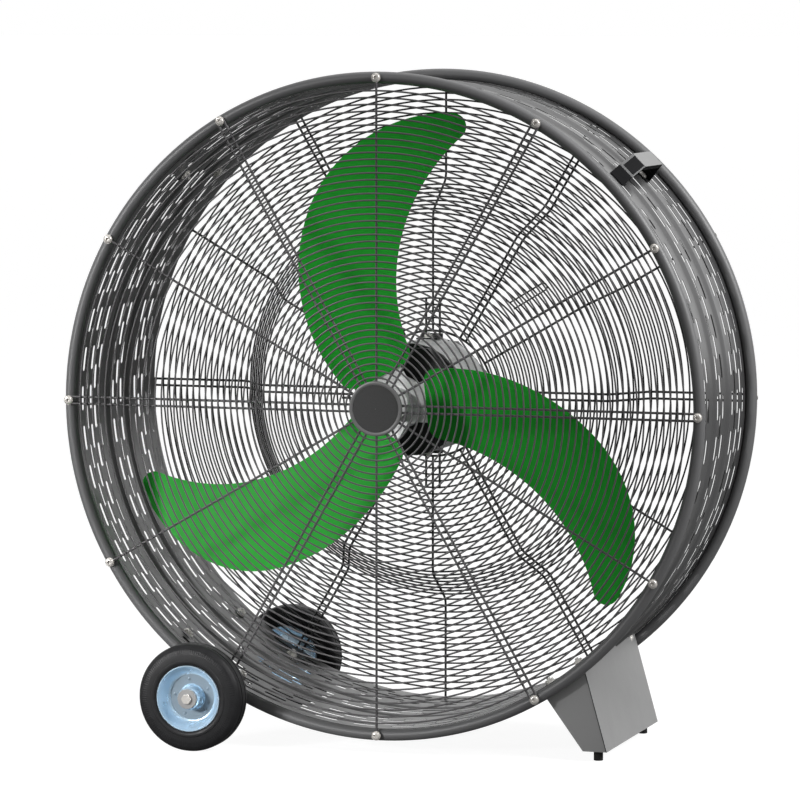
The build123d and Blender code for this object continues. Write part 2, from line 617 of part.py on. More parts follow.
def wheel_rim():
    """A pressed wheel: a seat for the tyre, dished sides, a flat disc and a flared boss."""
    outer, disc, flare, boss = [
        size / 2 for size in (WHEEL_RIM_DIAMETER, WHEEL_DISC_DIAMETER, WHEEL_BOSS_FLARE, WHEEL_BOSS_DIAMETER)
    ]
    bore = corner_radius(AXLE_RADIUS + BUSH_WALL + FIT_CLEARANCE, WHEEL_SIDES)
    half = WHEEL_WIDTH / 2
    floor = half - WHEEL_DISC_RECESS
    front = [(outer, half), (disc, floor), (flare, floor), (boss, half), (bore, half)]
    back = [(radius, -height) for radius, height in reversed(front)]
    return Rot(0, 0, 90) * flat_sided(front + back, WHEEL_SIDES)


def wheel_bush():
    inner = corner_radius(AXLE_RADIUS + RUNNING_CLEARANCE, BUSH_SIDES)
    return tube(AXLE_RADIUS + BUSH_WALL, inner, -WHEEL_WIDTH / 2, WHEEL_WIDTH / 2, BUSH_SIDES)


def axle():
    return extrude(Circle(AXLE_RADIUS), AXLE_END, both=True)


def both_ends(piece):
    """A piece at the front end of the axle and its twin at the rear end."""
    return Compound([piece, Rot(180, 0, 0) * piece])


def axle_caps():
    """End washers that keep the wheels on."""
    washer = extrude(RegularPolygon(CAP_DIAMETER / 2, BUSH_SIDES), CAP_THICKNESS)
    return both_ends(Pos(0, 0, AXLE_END) * washer)


def axle_bolts():
    low = AXLE_END + CAP_THICKNESS
    return both_ends(hex_bar(AXLE_BOLT_HEAD, low, low + BOLT_HEAD_HEIGHT))


def axle_collars():
    """Collars that keep the wheels clear of the drum."""
    inner = corner_radius(AXLE_RADIUS + FIT_CLEARANCE, BUSH_SIDES)
    high = WHEEL_OFFSET - WHEEL_WIDTH / 2 - WHEEL_END_PLAY
    return both_ends(tube(COLLAR_DIAMETER / 2, inner, high - COLLAR_WIDTH, high, BUSH_SIDES))


def axle_brackets():
    """Angle plates that carry the axle, each with a base along the drum and an upright web."""
    first = BRACKET_BOLT_ANGLES[0] - BRACKET_END_MARGIN
    last = BRACKET_BOLT_ANGLES[1] + BRACKET_END_MARGIN
    strip = drum_band(BRACKET_THICKNESS, first, last)
    near = BRACKET_BOLT_OFFSET - BRACKET_BASE_WIDTH / 2
    far = near + BRACKET_BASE_WIDTH
    base = Pos(0, 0, near) * extrude(strip, BRACKET_BASE_WIDTH)
    centre = Vector(AXLE_X, AXLE_HEIGHT - AXIS_HEIGHT)
    sideways = centre.normalized().rotate(Axis.Z, 90) * BRACKET_EAR_RADIUS
    foot = [polar(OUTER_SEAT, angle) for angle in (last, first)]
    web = make_face(Polyline(centre - sideways, centre + sideways, *foot, close=True))
    web += Pos(centre.X, centre.Y) * RegularPolygon(BRACKET_EAR_RADIUS, BUSH_SIDES)
    web -= RegularPolygon(OUTER_SEAT, DRUM_SIDES)
    bore_radius = corner_radius(AXLE_RADIUS + FIT_CLEARANCE, BUSH_SIDES)
    web -= Pos(centre.X, centre.Y) * RegularPolygon(bore_radius, BUSH_SIDES)
    bracket = base + Pos(0, 0, far - BRACKET_THICKNESS) * extrude(web, BRACKET_THICKNESS)
    bracket -= [plane * bolt_hole(0, 3 * BRACKET_THICKNESS) for plane in BOLT_PLANES["bracket"]]
    return Compound([bracket, mirror(bracket, Plane.XY)])


# ---- handles and foot ------------------------------------------------------------------------


def handle(angle):
    """A bent sheet handle: two toes on the drum, sloping legs, and a top with folded edges."""
    half_top, half_base = HANDLE_TOP_LENGTH / 2, HANDLE_BASE_LENGTH / 2
    sole = HANDLE_SHEET / 2
    crown = HANDLE_HEIGHT - sole
    side = [(half_base + HANDLE_TOE_LENGTH, sole), (half_base, sole), (half_top, crown)]
    line = Polyline(*side, *[(-along, up) for along, up in reversed(side)])
    body = extrude(Plane.XZ * trace(line, HANDLE_SHEET), HANDLE_WIDTH / 2, both=True)
    lip = Box(HANDLE_TOP_LENGTH - 2 * HANDLE_LIP, HANDLE_SHEET, HANDLE_LIP)
    for edge in (-1, 1):
        body += Pos(0, edge * (HANDLE_WIDTH - HANDLE_SHEET) / 2, crown - sole - HANDLE_LIP / 2) * lip
    body = radial_plane(angle, HANDLE_SEAT, 0) * body
    return body - [plane * bolt_hole(0, 4 * HANDLE_SHEET) for plane in BOLT_PLANES["handle"]]


def foot_base():
    """The right and left ends of the foot's base plate, and its height under the drum axis."""
    top = polar(OUTER_SEAT, FOOT_OUTER_ANGLE)
    height = PAD_HEIGHT - AXIS_HEIGHT
    right = top.X + (top.Y - height) * tan(radians(FOOT_LEAN))
    return right, right - FOOT_BASE_WIDTH, height


def foot_stand():
    """A folded foot: a box that tapers from the drum to its base, with flanges along the drum."""
    right, left, height = foot_base()
    angles = (FOOT_INNER_ANGLE, FOOT_OUTER_ANGLE)
    inner_top, outer_top = [polar(OUTER_SEAT, angle) for angle in angles]
    inside = [polar(FOOT_TOP * OUTER_SEAT, angle) for angle in angles]
    outline = make_face(Polyline(outer_top, (right, height), (left, height), inner_top, *inside, close=True))
    box = extrude(outline, FOOT_HALF_LENGTH, both=True)
    hollow = offset(outline, -FOOT_SHEET, kind=Kind.INTERSECTION)
    box -= extrude(hollow, FOOT_HALF_LENGTH - FOOT_SHEET, both=True)
    span = degrees(FOOT_FLANGE / OUTER_SEAT)
    flanges = drum_band(FOOT_SHEET, FOOT_OUTER_ANGLE - span, FOOT_OUTER_ANGLE)
    flanges += drum_band(FOOT_SHEET, FOOT_INNER_ANGLE, FOOT_INNER_ANGLE + span)
    box += extrude(flanges, FOOT_HALF_LENGTH - FOOT_SHEET, both=True)
    box -= extrude(RegularPolygon(OUTER_SEAT, DRUM_SIDES), DRUM_DEPTH, both=True)
    box -= [plane * bolt_hole(0, 4 * FOOT_SHEET) for plane in BOLT_PLANES["foot"]]
    return box - [place * bolt_hole(-FOOT_SHEET, 2 * FOOT_SHEET) for place in pad_places()]


def pad_places():
    """Where the rubber feet touch the base plate, z upwards."""
    right, left, height = foot_base()
    return [Pos((right + left) / 2, height, side * PAD_OFFSET) * Rot(-90, 0, 0) for side in (-1, 1)]


def rubber_feet():
    pad = Pos(0, 0, -PAD_HEIGHT) * extrude(RegularPolygon(PAD_DIAMETER / 2, BUSH_SIDES), PAD_HEIGHT)
    return Compound([place * pad for place in pad_places()])


def foot_studs():
    """Studs of the rubber feet, through the base plate, with their nuts inside the foot."""
    stud = shank(0, FOOT_SHEET) + hex_bar(BOLT_HEAD, FOOT_SHEET, FOOT_SHEET + BOLT_HEAD_HEIGHT)
    return Compound([place * stud for place in pad_places()])


# ---- writing ---------------------------------------------------------------------------------

BOLT_PLANES = sheet_bolt_planes()

PARTS = {
    "drum_shell": DRUM * drum_shell(),
    "front_rim": DRUM * rim(RIM_OFFSET),
    "rear_rim": DRUM * rim(-RIM_OFFSET),
    "front_guard_rings": DRUM * front_guard_rings(),
    "front_guard_spokes": DRUM * front_guard_spokes(),
    "rear_guard_rings": DRUM * rear_guard_rings(),
    "rear_guard_spokes": DRUM * rear_guard_spokes(),
    "guard_badge": DRUM * guard_badge(),
    "front_guard_bolts": DRUM * guard_bolts(1),
    "rear_guard_bolts": DRUM * guard_bolts(-1),
    "hanger_rods": DRUM * hanger_rods(),
    "cord_hook": DRUM * cord_hook(),
    "motor_housing": DRUM * motor_housing(),
    "motor_front_bell": DRUM * motor_front_bell(),
    "motor_rear_bell": DRUM * motor_rear_bell(),
    "motor_bearings": DRUM * motor_bearings(),
    "stator": DRUM * stator(),
    "motor_lugs": DRUM * motor_lugs(),
    "motor_bolts": DRUM * motor_bolts(),
    "cable_gland": DRUM * cable_gland(),
    "motor_shaft": DRUM * motor_shaft(),
    "rotor": DRUM * rotor(),
    "fan_hub": DRUM * fan_hub(),
    "blade_1": DRUM * blade(0),
    "blade_2": DRUM * blade(1),
    "blade_3": DRUM * blade(2),
    "blade_nuts": DRUM * blade_nuts(),
    "front_tyre": AXLE * Pos(0, 0, WHEEL_OFFSET) * tyre(),
    "front_wheel_rim": AXLE * Pos(0, 0, WHEEL_OFFSET) * wheel_rim(),
    "front_wheel_bush": AXLE * Pos(0, 0, WHEEL_OFFSET) * wheel_bush(),
    "rear_tyre": AXLE * Pos(0, 0, -WHEEL_OFFSET) * tyre(),
    "rear_wheel_rim": AXLE * Pos(0, 0, -WHEEL_OFFSET) * wheel_rim(),
    "rear_wheel_bush": AXLE * Pos(0, 0, -WHEEL_OFFSET) * wheel_bush(),
    "axle": AXLE * axle(),
    "axle_caps": AXLE * axle_caps(),
    "axle_bolts": AXLE * axle_bolts(),
    "axle_collars": AXLE * axle_collars(),
    "axle_brackets": DRUM * axle_brackets(),
    "bracket_bolts": DRUM * sheet_bolts("bracket", OUTER_SEAT + BRACKET_THICKNESS),
    "right_handle": DRUM * handle(HANDLE_ANGLES[0]),
    "left_handle": DRUM * handle(HANDLE_ANGLES[1]),
    "handle_bolts": DRUM * sheet_bolts("handle", HANDLE_SEAT + HANDLE_SHEET),
    "foot_stand": DRUM * foot_stand(),
    "foot_bolts": DRUM * sheet_bolts("foot", OUTER_SEAT + FOOT_SHEET),
    "rubber_feet": DRUM * rubber_feet(),
    "foot_studs": DRUM * foot_studs(),
}

os.makedirs("parts", exist_ok=True)
for name, shape in PARTS.items():
    export_step(shape, f"parts/{name}.step")
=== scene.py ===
from math import cos, hypot, pi, radians, sin, tan

import bmesh
import bpy
from mathutils import Matrix, Vector


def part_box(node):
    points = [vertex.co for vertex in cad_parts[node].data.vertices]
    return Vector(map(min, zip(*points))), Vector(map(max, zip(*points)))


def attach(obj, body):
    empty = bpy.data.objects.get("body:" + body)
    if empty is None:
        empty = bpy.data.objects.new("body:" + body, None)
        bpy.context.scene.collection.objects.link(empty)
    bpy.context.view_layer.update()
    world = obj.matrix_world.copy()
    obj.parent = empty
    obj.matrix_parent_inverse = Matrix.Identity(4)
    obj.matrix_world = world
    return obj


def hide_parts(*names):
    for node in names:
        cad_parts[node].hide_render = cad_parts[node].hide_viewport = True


# The looks of a wheeled drum fan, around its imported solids. Metres, +X right, +Y back, +Z up.
# The drum's axis runs along Y. An angle round the drum is in degrees from +X towards +Z, and a
# piece's "ahead" is its distance in front of the middle of the drum's depth.

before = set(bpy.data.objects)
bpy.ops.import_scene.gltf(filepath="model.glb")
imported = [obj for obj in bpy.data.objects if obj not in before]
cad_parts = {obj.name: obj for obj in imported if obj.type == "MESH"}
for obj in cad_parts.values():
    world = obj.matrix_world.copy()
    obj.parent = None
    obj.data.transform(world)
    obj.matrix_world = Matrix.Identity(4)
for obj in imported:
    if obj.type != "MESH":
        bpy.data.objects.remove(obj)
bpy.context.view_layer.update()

# ---- sizes from the frame --------------------------------------------------------------------


def size_of(node):
    """A node's size along each axis."""
    low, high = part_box(node)
    return high - low


def middle_of(node):
    """The middle of a node's box."""
    low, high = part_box(node)
    return (low + high) / 2


AXIS_Z = middle_of("front_rim").z
RIM_TUBE = size_of("front_rim").y / 2
RIM_RADIUS = size_of("front_rim").z / 2 - RIM_TUBE
RIM_AHEAD = -middle_of("front_rim").y
SHELL_OUTER = size_of("drum_shell").z / 2
GUARD_FACE = RIM_AHEAD + RIM_TUBE
BADGE_RADIUS = size_of("guard_badge").z / 2
BADGE_AHEAD = -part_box("guard_badge")[0].y
MOTOR_LOW, MOTOR_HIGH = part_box("motor_housing")
WHEEL_RADIUS = size_of("front_tyre").z / 2
WHEEL_WIDTH = size_of("front_tyre").y
WHEEL_OFFSET = -middle_of("front_tyre").y
WHEEL_X = middle_of("front_tyre").x
WHEEL_SEAT = size_of("front_wheel_rim").z / 2
FOOT_LOW, FOOT_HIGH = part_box("foot_stand")

# ---- sizes of the details --------------------------------------------------------------------

SHEET = 0.001
SLOTS_ROUND = 50
SLOT_LENGTH = 0.047
SLOT_WIDTH = 0.0100
SLOT_PITCH = 0.0205  # across the drum, from row to row
SLOT_BANDS = {-0.137: 5, 0.0: 3, 0.137: 5}  # the middle of each band of rows, and its rows
SLOT_STEPS = 12  # faces along each edge of a slot
SLOT_TIP_STEPS = 3  # those of them round each tip
SLOT_SPAN = 2 * pi * SHELL_OUTER / SLOTS_ROUND  # the length of sheet that each slot has
SHEET_STEP = SLOT_SPAN / SLOT_STEPS
BEAD_PLACES = (-0.05, 0.05)
BEAD_WIDTH = 0.027
BEAD_DEPTH = 0.0055
BEAD_ROWS = 14

RING_WIRE = 0.0035
RING_STEPS = 144
SPOKE_WIRE = 0.0046
SPOKE_SIDES = 8
RING_PITCH = 0.01265
RING_OUTER = 0.590
HOURS = 12  # spokes round each guard, one at every hour of the clock
HAIRPIN_HALF = 0.0065  # from a doubled spoke's middle to its wires
EYE_RADIUS = 0.0058
FRONT_FACE = GUARD_FACE + SPOKE_WIRE / 2
REAR_FACE = -FRONT_FACE
DISH_OUTER = 0.412
DISH_INNER = 0.352
DISH_DEPTH = 0.085
REAR_FLOOR = REAR_FACE + DISH_DEPTH
CENTRE_RING = 0.1216
BEND_RADIUS = 0.025
BEND_STEPS = 6
TURN_STEPS = 10  # faces round a hairpin's or a hook's half circle
HANGER_HALF_GAP = 0.0138
HOOK_WIRE = 0.0032
HOOK_HALF = 0.0072
HOOK_LENGTH = 0.080
HOOK_ANGLE = 31
HOOK_START = (0.1588, 0.1724)  # to the right of the axis and over it

BADGE_RIM = 0.007
BADGE_SUNK = 0.0015
MOTOR_SIDES = 24
MOTOR_STEPS = 180
MOTOR_EDGE = 0.001
SEAM_EVERY = 15  # steps between the motor's seams
SEAM_DEPTH = 0.0025
LUG_SHEET = 0.003

TYRE_RIBS = 130
RIB_STEPS = 4
RIB_SUNK = 0.0004
RIB_OUTER = WHEEL_RADIUS - 0.0063
RIB_INNER = WHEEL_RADIUS - 0.0185
MARK_COUNT = 5
MARK_START = 101
MARK_RADIUS = 0.035

HANDLE_HALF = 0.017
HANDLE_SHEET = 0.003
HANDLE_LIP = 0.009
HANDLE_CROWN = 0.0490
HANDLE_MIDDLE = 0.022
HANDLE_SEAT = SHELL_OUTER * cos(radians(3)) + 0.0003  # it stands on one flat of the solid drum
HANDLE_ANGLES = {"right_handle": 45, "left_handle": 135}
HANDLE_BOLT_OFFSET = 0.088
BRACKET_BOLT_ANGLES = (228.1, 240.7)
BRACKET_BOLT_OFFSET = 0.147
FOOT_BOLT_ANGLES = (-51.15, -57.65)
FOOT_BOLT_OFFSET = 0.162
FOOT_TOP_ANGLE = -49.7
FOOT_LEAN = -15.6  # the way that the foot's outer plate faces
PLATE_SCREW_ANGLE = -50.2
SEAM_WIDTH = 0.0016
SEAM_RISE = 0.0003

WHITE = (1.0, 1.0, 1.0)

# ---- placing ---------------------------------------------------------------------------------


def polar(radius, angle, ahead=0.0):
    """A point round the drum's axis."""
    return Vector((radius * cos(radians(angle)), -ahead, AXIS_Z + radius * sin(radians(angle))))


def radial(angle, radius, ahead):
    """A place with its z axis along a radius and its x axis to the front."""
    out = Vector((cos(radians(angle)), 0, sin(radians(angle))))
    front = Vector((0, -1, 0))
    place = Matrix((front, out.cross(front), out)).transposed().to_4x4()
    place.translation = polar(radius, angle, ahead)
    return place


def facing(x, ahead, z):
    """A place with its z axis to the front, x to the right and y up."""
    place = Matrix(((1, 0, 0), (0, 0, 1), (0, -1, 0))).transposed().to_4x4()
    place.translation = (x, -ahead, z)
    return place


DRUM = facing(0, 0, AXIS_Z)


def turned(angle):
    """The drum's front place, turned round its axis."""
    return DRUM @ Matrix.Rotation(radians(angle), 4, "Z")


def half_circle(radius):
    """Points of a half circle on the right, from its lowest to its highest."""
    turns = [-pi / 2 + pi * step / TURN_STEPS for step in range(TURN_STEPS + 1)]
    return [(radius * cos(a), radius * sin(a)) for a in turns]


# ---- mesh tools ------------------------------------------------------------------------------


class Shape:
    """Points and faces gathered for one piece."""

    def __init__(self):
        self.points = []
        self.faces = []

    def add(self, points, faces, place):
        """Takes in points and their faces, moved to a place if there is one."""
        base = len(self.points)
        points = [Vector(point) for point in points]
        self.points += [place @ point for point in points] if place else points
        self.faces += [[base + corner for corner in face] for face in faces]
        return self

    def skin(self, rows, round_rows=True, closed=False, caps=False, place=None):
        """A skin over rows of points. round_rows closes each row, closed joins the last to the first,
        and caps close the first row's opening and the last row's."""
        count = len(rows[0])
        faces = []
        for row in range(len(rows) if closed else len(rows) - 1):
            here, there = row * count, (row + 1) % len(rows) * count
            for step in range(count if round_rows else count - 1):
                side = (step + 1) % count
                faces.append((here + step, here + side, there + side, there + step))
        if caps:
            faces.append(tuple(range(count))[::-1])
            faces.append(tuple((len(rows) - 1) * count + step for step in range(count)))
        return self.add([point for row in rows for point in row], faces, place)

    def lathe(self, profile, sides, place):
        """A turned shape about the place's z axis, from a profile of radius and height."""
        rows = []
        for side in range(sides):
            angle = 2 * pi * side / sides
            rows.append([(radius * cos(angle), radius * sin(angle), height) for radius, height in profile])
        return self.skin(rows, closed=True, place=place)

    def prism(self, outline, low, high, place):
        """A straight prism over an outline of x and y."""
        rows = [[(x, y, height) for x, y in outline] for height in (low, high)]
        return self.skin(rows, caps=True, place=place)

    def wire(self, path, width, sides=6, closed=False, place=None):
        """A round wire along a path of points."""
        path = [Vector(point) for point in path]
        count = len(path)
        rows = []
        up = None
        for step, point in enumerate(path):
            before = path[step - 1] if closed or step else point
            after = path[(step + 1) % count] if closed or step < count - 1 else point
            along = (after - before).normalized()
            if up is None:
                up = along.orthogonal()
            up = (up - along * up.dot(along)).normalized()
            across = along.cross(up)
            turns = [2 * pi * side / sides for side in range(sides)]
            rows.append([point + (up * cos(a) + across * sin(a)) * width / 2 for a in turns])
        return self.skin(rows, closed=closed, caps=not closed, place=place)

    def ring(self, radius, ahead, width, steps=RING_STEPS, sides=6):
        """A ring of round wire about the drum's axis."""
        profile = []
        for side in range(sides):
            angle = 2 * pi * side / sides
            profile.append((radius + width / 2 * cos(angle), ahead + width / 2 * sin(angle)))
        return self.lathe(profile, steps, DRUM)


def circle(radius, sides):
    """The corners of a regular outline."""
    turns = [2 * pi * side / sides for side in range(sides)]
    return [(radius * cos(a), radius * sin(a)) for a in turns]


def rounded(corners, radius):
    """A route through corners, each of them rounded."""
    corners = [Vector(corner) for corner in corners]
    route = [corners[0]]
    for before, corner, after in zip(corners, corners[1:], corners[2:]):
        back, on = (before - corner).normalized(), (after - corner).normalized()
        half = back.angle(on) / 2
        shorter = min((before - corner).length, (after - corner).length)
        reach = min(radius / tan(half), 0.45 * shorter)
        start, end = corner + back * reach, corner + on * reach
        for step in range(BEND_STEPS + 1):
            share = step / BEND_STEPS
            route.append(start.lerp(corner, share).lerp(corner.lerp(end, share), share))
    return route + [corners[-1]]


def shape_mesh(name, shape):
    """A mesh of a gathered shape."""
    mesh = bpy.data.meshes.new(name)
    mesh.from_pydata([tuple(point) for point in shape.points], [], shape.faces)
    return mesh


def soften(piece, width):
    """Rounds the sharp edges of a piece."""
    bevel = piece.modifiers.new("soft edges", "BEVEL")
    bevel.width = width
    bevel.segments = 2
    bevel.limit_method = "ANGLE"
    bevel.angle_limit = radians(28)
    bevel.harden_normals = True


def place_piece(name, mesh, material, body, nodes, sharp, edge):
    """Makes a mesh a piece of the fan, smooth except at its sharp edges."""
    mesh.shade_smooth()
    mesh.set_sharp_from_angle(angle=radians(sharp))
    mesh.materials.clear()
    mesh.materials.append(material)
    piece = bpy.data.objects.new(name, mesh)
    if edge:
        soften(piece, edge)
    bpy.context.scene.collection.objects.link(piece)
    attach(piece, body)
    if nodes:
        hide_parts(*nodes)


def make(name, shape, material, body, nodes=(), sharp=35, edge=0.0):
    """A piece from a gathered shape, standing for CAD nodes."""
    mesh = shape_mesh(name, shape)
    work = bmesh.new()
    work.from_mesh(mesh)
    bmesh.ops.recalc_face_normals(work, faces=work.faces)
    work.to_mesh(mesh)
    work.free()
    place_piece(name, mesh, material, body, nodes, sharp, edge)


def dress(node, material, body, edge=0.0006, flat=True):
    """A node's own shape with its flats made whole, its edges rounded and its curves smooth."""
    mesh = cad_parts[node].data.copy()
    work = bmesh.new()
    work.from_mesh(mesh)
    bmesh.ops.remove_doubles(work, verts=work.verts, dist=1e-6)
    if flat:
        bmesh.ops.dissolve_limit(work, angle_limit=radians(0.5), verts=work.verts, edges=work.edges)
    bmesh.ops.recalc_face_normals(work, faces=work.faces)
    work.to_mesh(mesh)
    work.free()
    place_piece(node + "_dressed", mesh, material, body, (node,), 30, edge)


# ---- materials -------------------------------------------------------------------------------


COAT_ROUGHNESS = 0.3
CLOUD_LOW = 0.3  # where a noise starts and stops to tell
CLOUD_HIGH = 0.7


class Finish:
    """A node material, built around one Principled shader."""

    def __init__(self, name, colour, roughness, metallic=0.0, coat=0.0, specular=0.5):
        self.material = bpy.data.materials.new(name)
        self.material.use_nodes = True
        self.nodes = self.material.node_tree.nodes
        self.links = self.material.node_tree.links
        self.shader = self.nodes["Principled BSDF"]
        self.shader.inputs["Base Color"].default_value = (*colour, 1)
        self.shader.inputs["Roughness"].default_value = roughness
        self.shader.inputs["Metallic"].default_value = metallic
        self.shader.inputs["Coat Weight"].default_value = coat
        self.shader.inputs["Coat Roughness"].default_value = COAT_ROUGHNESS
        self.shader.inputs["Specular IOR Level"].default_value = specular
        self.place = self.nodes.new("ShaderNodeTexCoord").outputs["Object"]

    def noise(self, scale, detail, stretch=None):
        """A noise over the object's own coordinates, at so many cells in a metre."""
        node = self.nodes.new("ShaderNodeTexNoise")
        node.inputs["Scale"].default_value = scale
        node.inputs["Detail"].default_value = detail
        place = self.place
        if stretch:
            mapping = self.nodes.new("ShaderNodeMapping")
            mapping.inputs["Scale"].default_value = stretch
            self.links.new(place, mapping.inputs["Vector"])
            place = mapping.outputs["Vector"]
        self.links.new(place, node.inputs["Vector"])
        return node.outputs["Fac"]

    def spread(self, value, low, high):
        """A value's clouds spread between two ends."""
        node = self.nodes.new("ShaderNodeMapRange")
        node.inputs["From Min"].default_value = CLOUD_LOW
        node.inputs["From Max"].default_value = CLOUD_HIGH
        node.inputs["To Min"].default_value = low
        node.inputs["To Max"].default_value = high
        self.links.new(value, node.inputs["Value"])
        return node.outputs["Result"]

    def tint(self, value, dark, light):
        """The colour runs from dark to light with a value."""
        ramp = self.nodes.new("ShaderNodeValToRGB")
        ramp.color_ramp.elements[0].position = CLOUD_LOW
        ramp.color_ramp.elements[0].color = (*dark, 1)
        ramp.color_ramp.elements[1].position = CLOUD_HIGH
        ramp.color_ramp.elements[1].color = (*light, 1)
        self.links.new(value, ramp.inputs["Fac"])
        self.links.new(ramp.outputs["Color"], self.shader.inputs["Base Color"])

    def rough(self, value, low, high):
        """The roughness runs from low to high with a value."""
        self.links.new(self.spread(value, low, high), self.shader.inputs["Roughness"])

    def bump(self, value, depth, strength):
        """A fine relief in the surface."""
        node = self.nodes.new("ShaderNodeBump")
        node.inputs["Distance"].default_value = depth
        node.inputs["Strength"].default_value = strength
        self.links.new(value, node.inputs["Height"])
        self.links.new(node.outputs["Normal"], self.shader.inputs["Normal"])


def shade(colour, share):
    """A darker or a lighter colour."""
    return tuple(channel * share for channel in colour)


def powder_coat(name, colour, roughness, grain=900, coat=0.0, specular=0.5):
    """Powder-coated metal: orange peel, a faint dust and a little wear of the gloss."""
    finish = Finish(name, colour, roughness, coat=coat, specular=specular)
    finish.tint(finish.noise(7, 4), shade(colour, 0.96), shade(colour, 1.04))
    finish.rough(finish.noise(26, 5), roughness - 0.03, roughness + 0.03)
    finish.bump(finish.noise(grain, 2), 0.00012, 0.35)
    return finish.material


def zinc_steel(name, colour, roughness, metallic, grain=260):
    """Zinc-plated steel: a faint spangle, handling marks and fine bump."""
    finish = Finish(name, colour, roughness, metallic=metallic)
    finish.tint(finish.noise(grain, 4), shade(colour, 0.93), shade(colour, 1.05))
    finish.rough(finish.noise(60, 5), roughness - 0.02, roughness + 0.02)
    finish.bump(finish.noise(700, 3), 0.0001, 0.3)
    return finish.material


def cast_metal(name, colour, roughness):
    """Cast aluminium: a sandy skin with cloudy tone."""
    finish = Finish(name, colour, roughness, metallic=0.12)
    finish.tint(finish.noise(30, 5), shade(colour, 0.9), shade(colour, 1.07))
    finish.rough(finish.noise(90, 4), roughness - 0.06, roughness + 0.1)
    finish.bump(finish.noise(1100, 3), 0.00025, 0.5)
    return finish.material


def ground_steel(name, colour, roughness):
    """Ground bar steel: fine scratches along its length."""
    finish = Finish(name, colour, roughness, metallic=1.0)
    scratch = finish.noise(400, 3, stretch=(1, 0.06, 1))
    finish.tint(scratch, shade(colour, 0.82), shade(colour, 1.1))
    finish.rough(scratch, roughness - 0.06, roughness + 0.1)
    finish.bump(scratch, 0.00006, 0.4)
    return finish.material


def rubber(name, colour, roughness):
    """Black rubber: a dull skin with scuffs and fine pores."""
    finish = Finish(name, colour, roughness, specular=0.18)
    finish.tint(finish.noise(45, 6), shade(colour, 0.85), shade(colour, 1.2))
    finish.rough(finish.noise(80, 4), roughness - 0.05, roughness + 0.08)
    finish.bump(finish.noise(1500, 2), 0.0001, 0.4)
    return finish.material


def moulded(name, colour, roughness):
    """Moulded nylon: a fine even grain."""
    finish = Finish(name, colour, roughness)
    finish.tint(finish.noise(60, 3), shade(colour, 0.85), shade(colour, 1.2))
    finish.rough(finish.noise(120, 3), roughness - 0.05, roughness + 0.08)
    finish.bump(finish.noise(1800, 2), 0.00012, 0.5)
    return finish.material


def badge_face(name, colour):
    """The badge's face: a fine stippled paint."""
    finish = Finish(name, colour, 0.55)
    grain = finish.noise(1400, 2)
    finish.tint(grain, shade(colour, 0.75), shade(colour, 1.35))
    finish.rough(finish.noise(300, 3), 0.5, 0.65)
    finish.bump(grain, 0.0003, 0.7)
    return finish.material


SHEET_GREY = powder_coat("sheet_grey", (0.062, 0.062, 0.063), 0.34, coat=0.5)
# The handle is drawn as a near-black strip with a light grey plate on its top. The strip's near-black is
# partly its dark paint and partly painted shade on the legs. The top plate's light grey is partly painted
# light where the lamps fall on the top.
HANDLE_DARK_AND_SHADE = powder_coat("handle_dark_and_shade", (0.012, 0.012, 0.013), 0.5, specular=0.08)
HANDLE_TOP_AND_LIGHT = powder_coat("handle_top_and_light", (0.20, 0.20, 0.20), 0.38)
FOOT_GREY = powder_coat("foot_grey", (0.27, 0.27, 0.27), 0.4)
FRAME_DARK = powder_coat("frame_dark", (0.120, 0.120, 0.122), 0.46, specular=0.6)
WIRE_FRONT = powder_coat("wire_front", (0.085, 0.082, 0.085), 0.40, grain=1500)
# The front guard's wire paint made three times darker for the rear guard, the hanger rods and the cord hook:
# painted shade, as they stand in the drum's shade.
WIRE_REAR_PAINTED_SHADE = powder_coat("wire_rear_painted_shade", (0.026, 0.025, 0.026), 0.40, grain=1500)
GREEN = powder_coat("green", (0.021, 0.395, 0.034), 0.5, specular=0.12)
BLACK = powder_coat("black", (0.014, 0.014, 0.014), 0.42)
BADGE_RIM_GREY = powder_coat("badge_rim_grey", (0.11, 0.11, 0.11), 0.4)
BADGE_DARK = badge_face("badge_dark", (0.014, 0.014, 0.014))
BOLT_ZINC = zinc_steel("bolt_zinc", (0.74, 0.71, 0.67), 0.25, 0.4)
# The bolts' zinc plate, made lighter and less metallic so that nuts and bolts standing in shade still look
# bright: painted light.
NUT_ZINC_PAINTED_LIGHT = zinc_steel("nut_zinc_painted_light", (0.90, 0.88, 0.84), 0.25, 0.15)
WHEEL_ZINC = zinc_steel("wheel_zinc", (0.60, 0.78, 0.93), 0.26, 0.5, 900)
# A copy of the wheel's zinc, about three times darker, for the wheel's flat middle, which is the same pressed
# plate as its hollow wall: painted shade.
PLATE_ZINC_PAINTED_SHADE = zinc_steel("plate_zinc_painted_shade", (0.22, 0.28, 0.33), 0.38, 0.2, 900)
CAP_GREY = powder_coat("cap_grey", (0.30, 0.30, 0.30), 0.45)
HUB_METAL = cast_metal("hub_metal", (0.78, 0.78, 0.78), 0.5)
MOTOR_METAL = cast_metal("motor_metal", (0.95, 0.95, 0.95), 0.42)
STEEL = ground_steel("steel", (0.5, 0.5, 0.5), 0.3)
TYRE = rubber("tyre", (0.017, 0.017, 0.018), 0.42)
PAD = rubber("pad", (0.03, 0.03, 0.03), 0.62)
NYLON = moulded("nylon", (0.02, 0.02, 0.02), 0.5)

# ---- drum ------------------------------------------------------------------------------------


def sheet_rise(across):
    """How far a bead lifts the drum sheet outwards, at a distance across the drum."""
    rise = 0.0
    for middle in BEAD_PLACES:
        offset = abs(across - middle) / (BEAD_WIDTH / 2)
        if offset < 1:
            rise += BEAD_DEPTH * (0.5 + 0.5 * cos(pi * offset))
    return rise


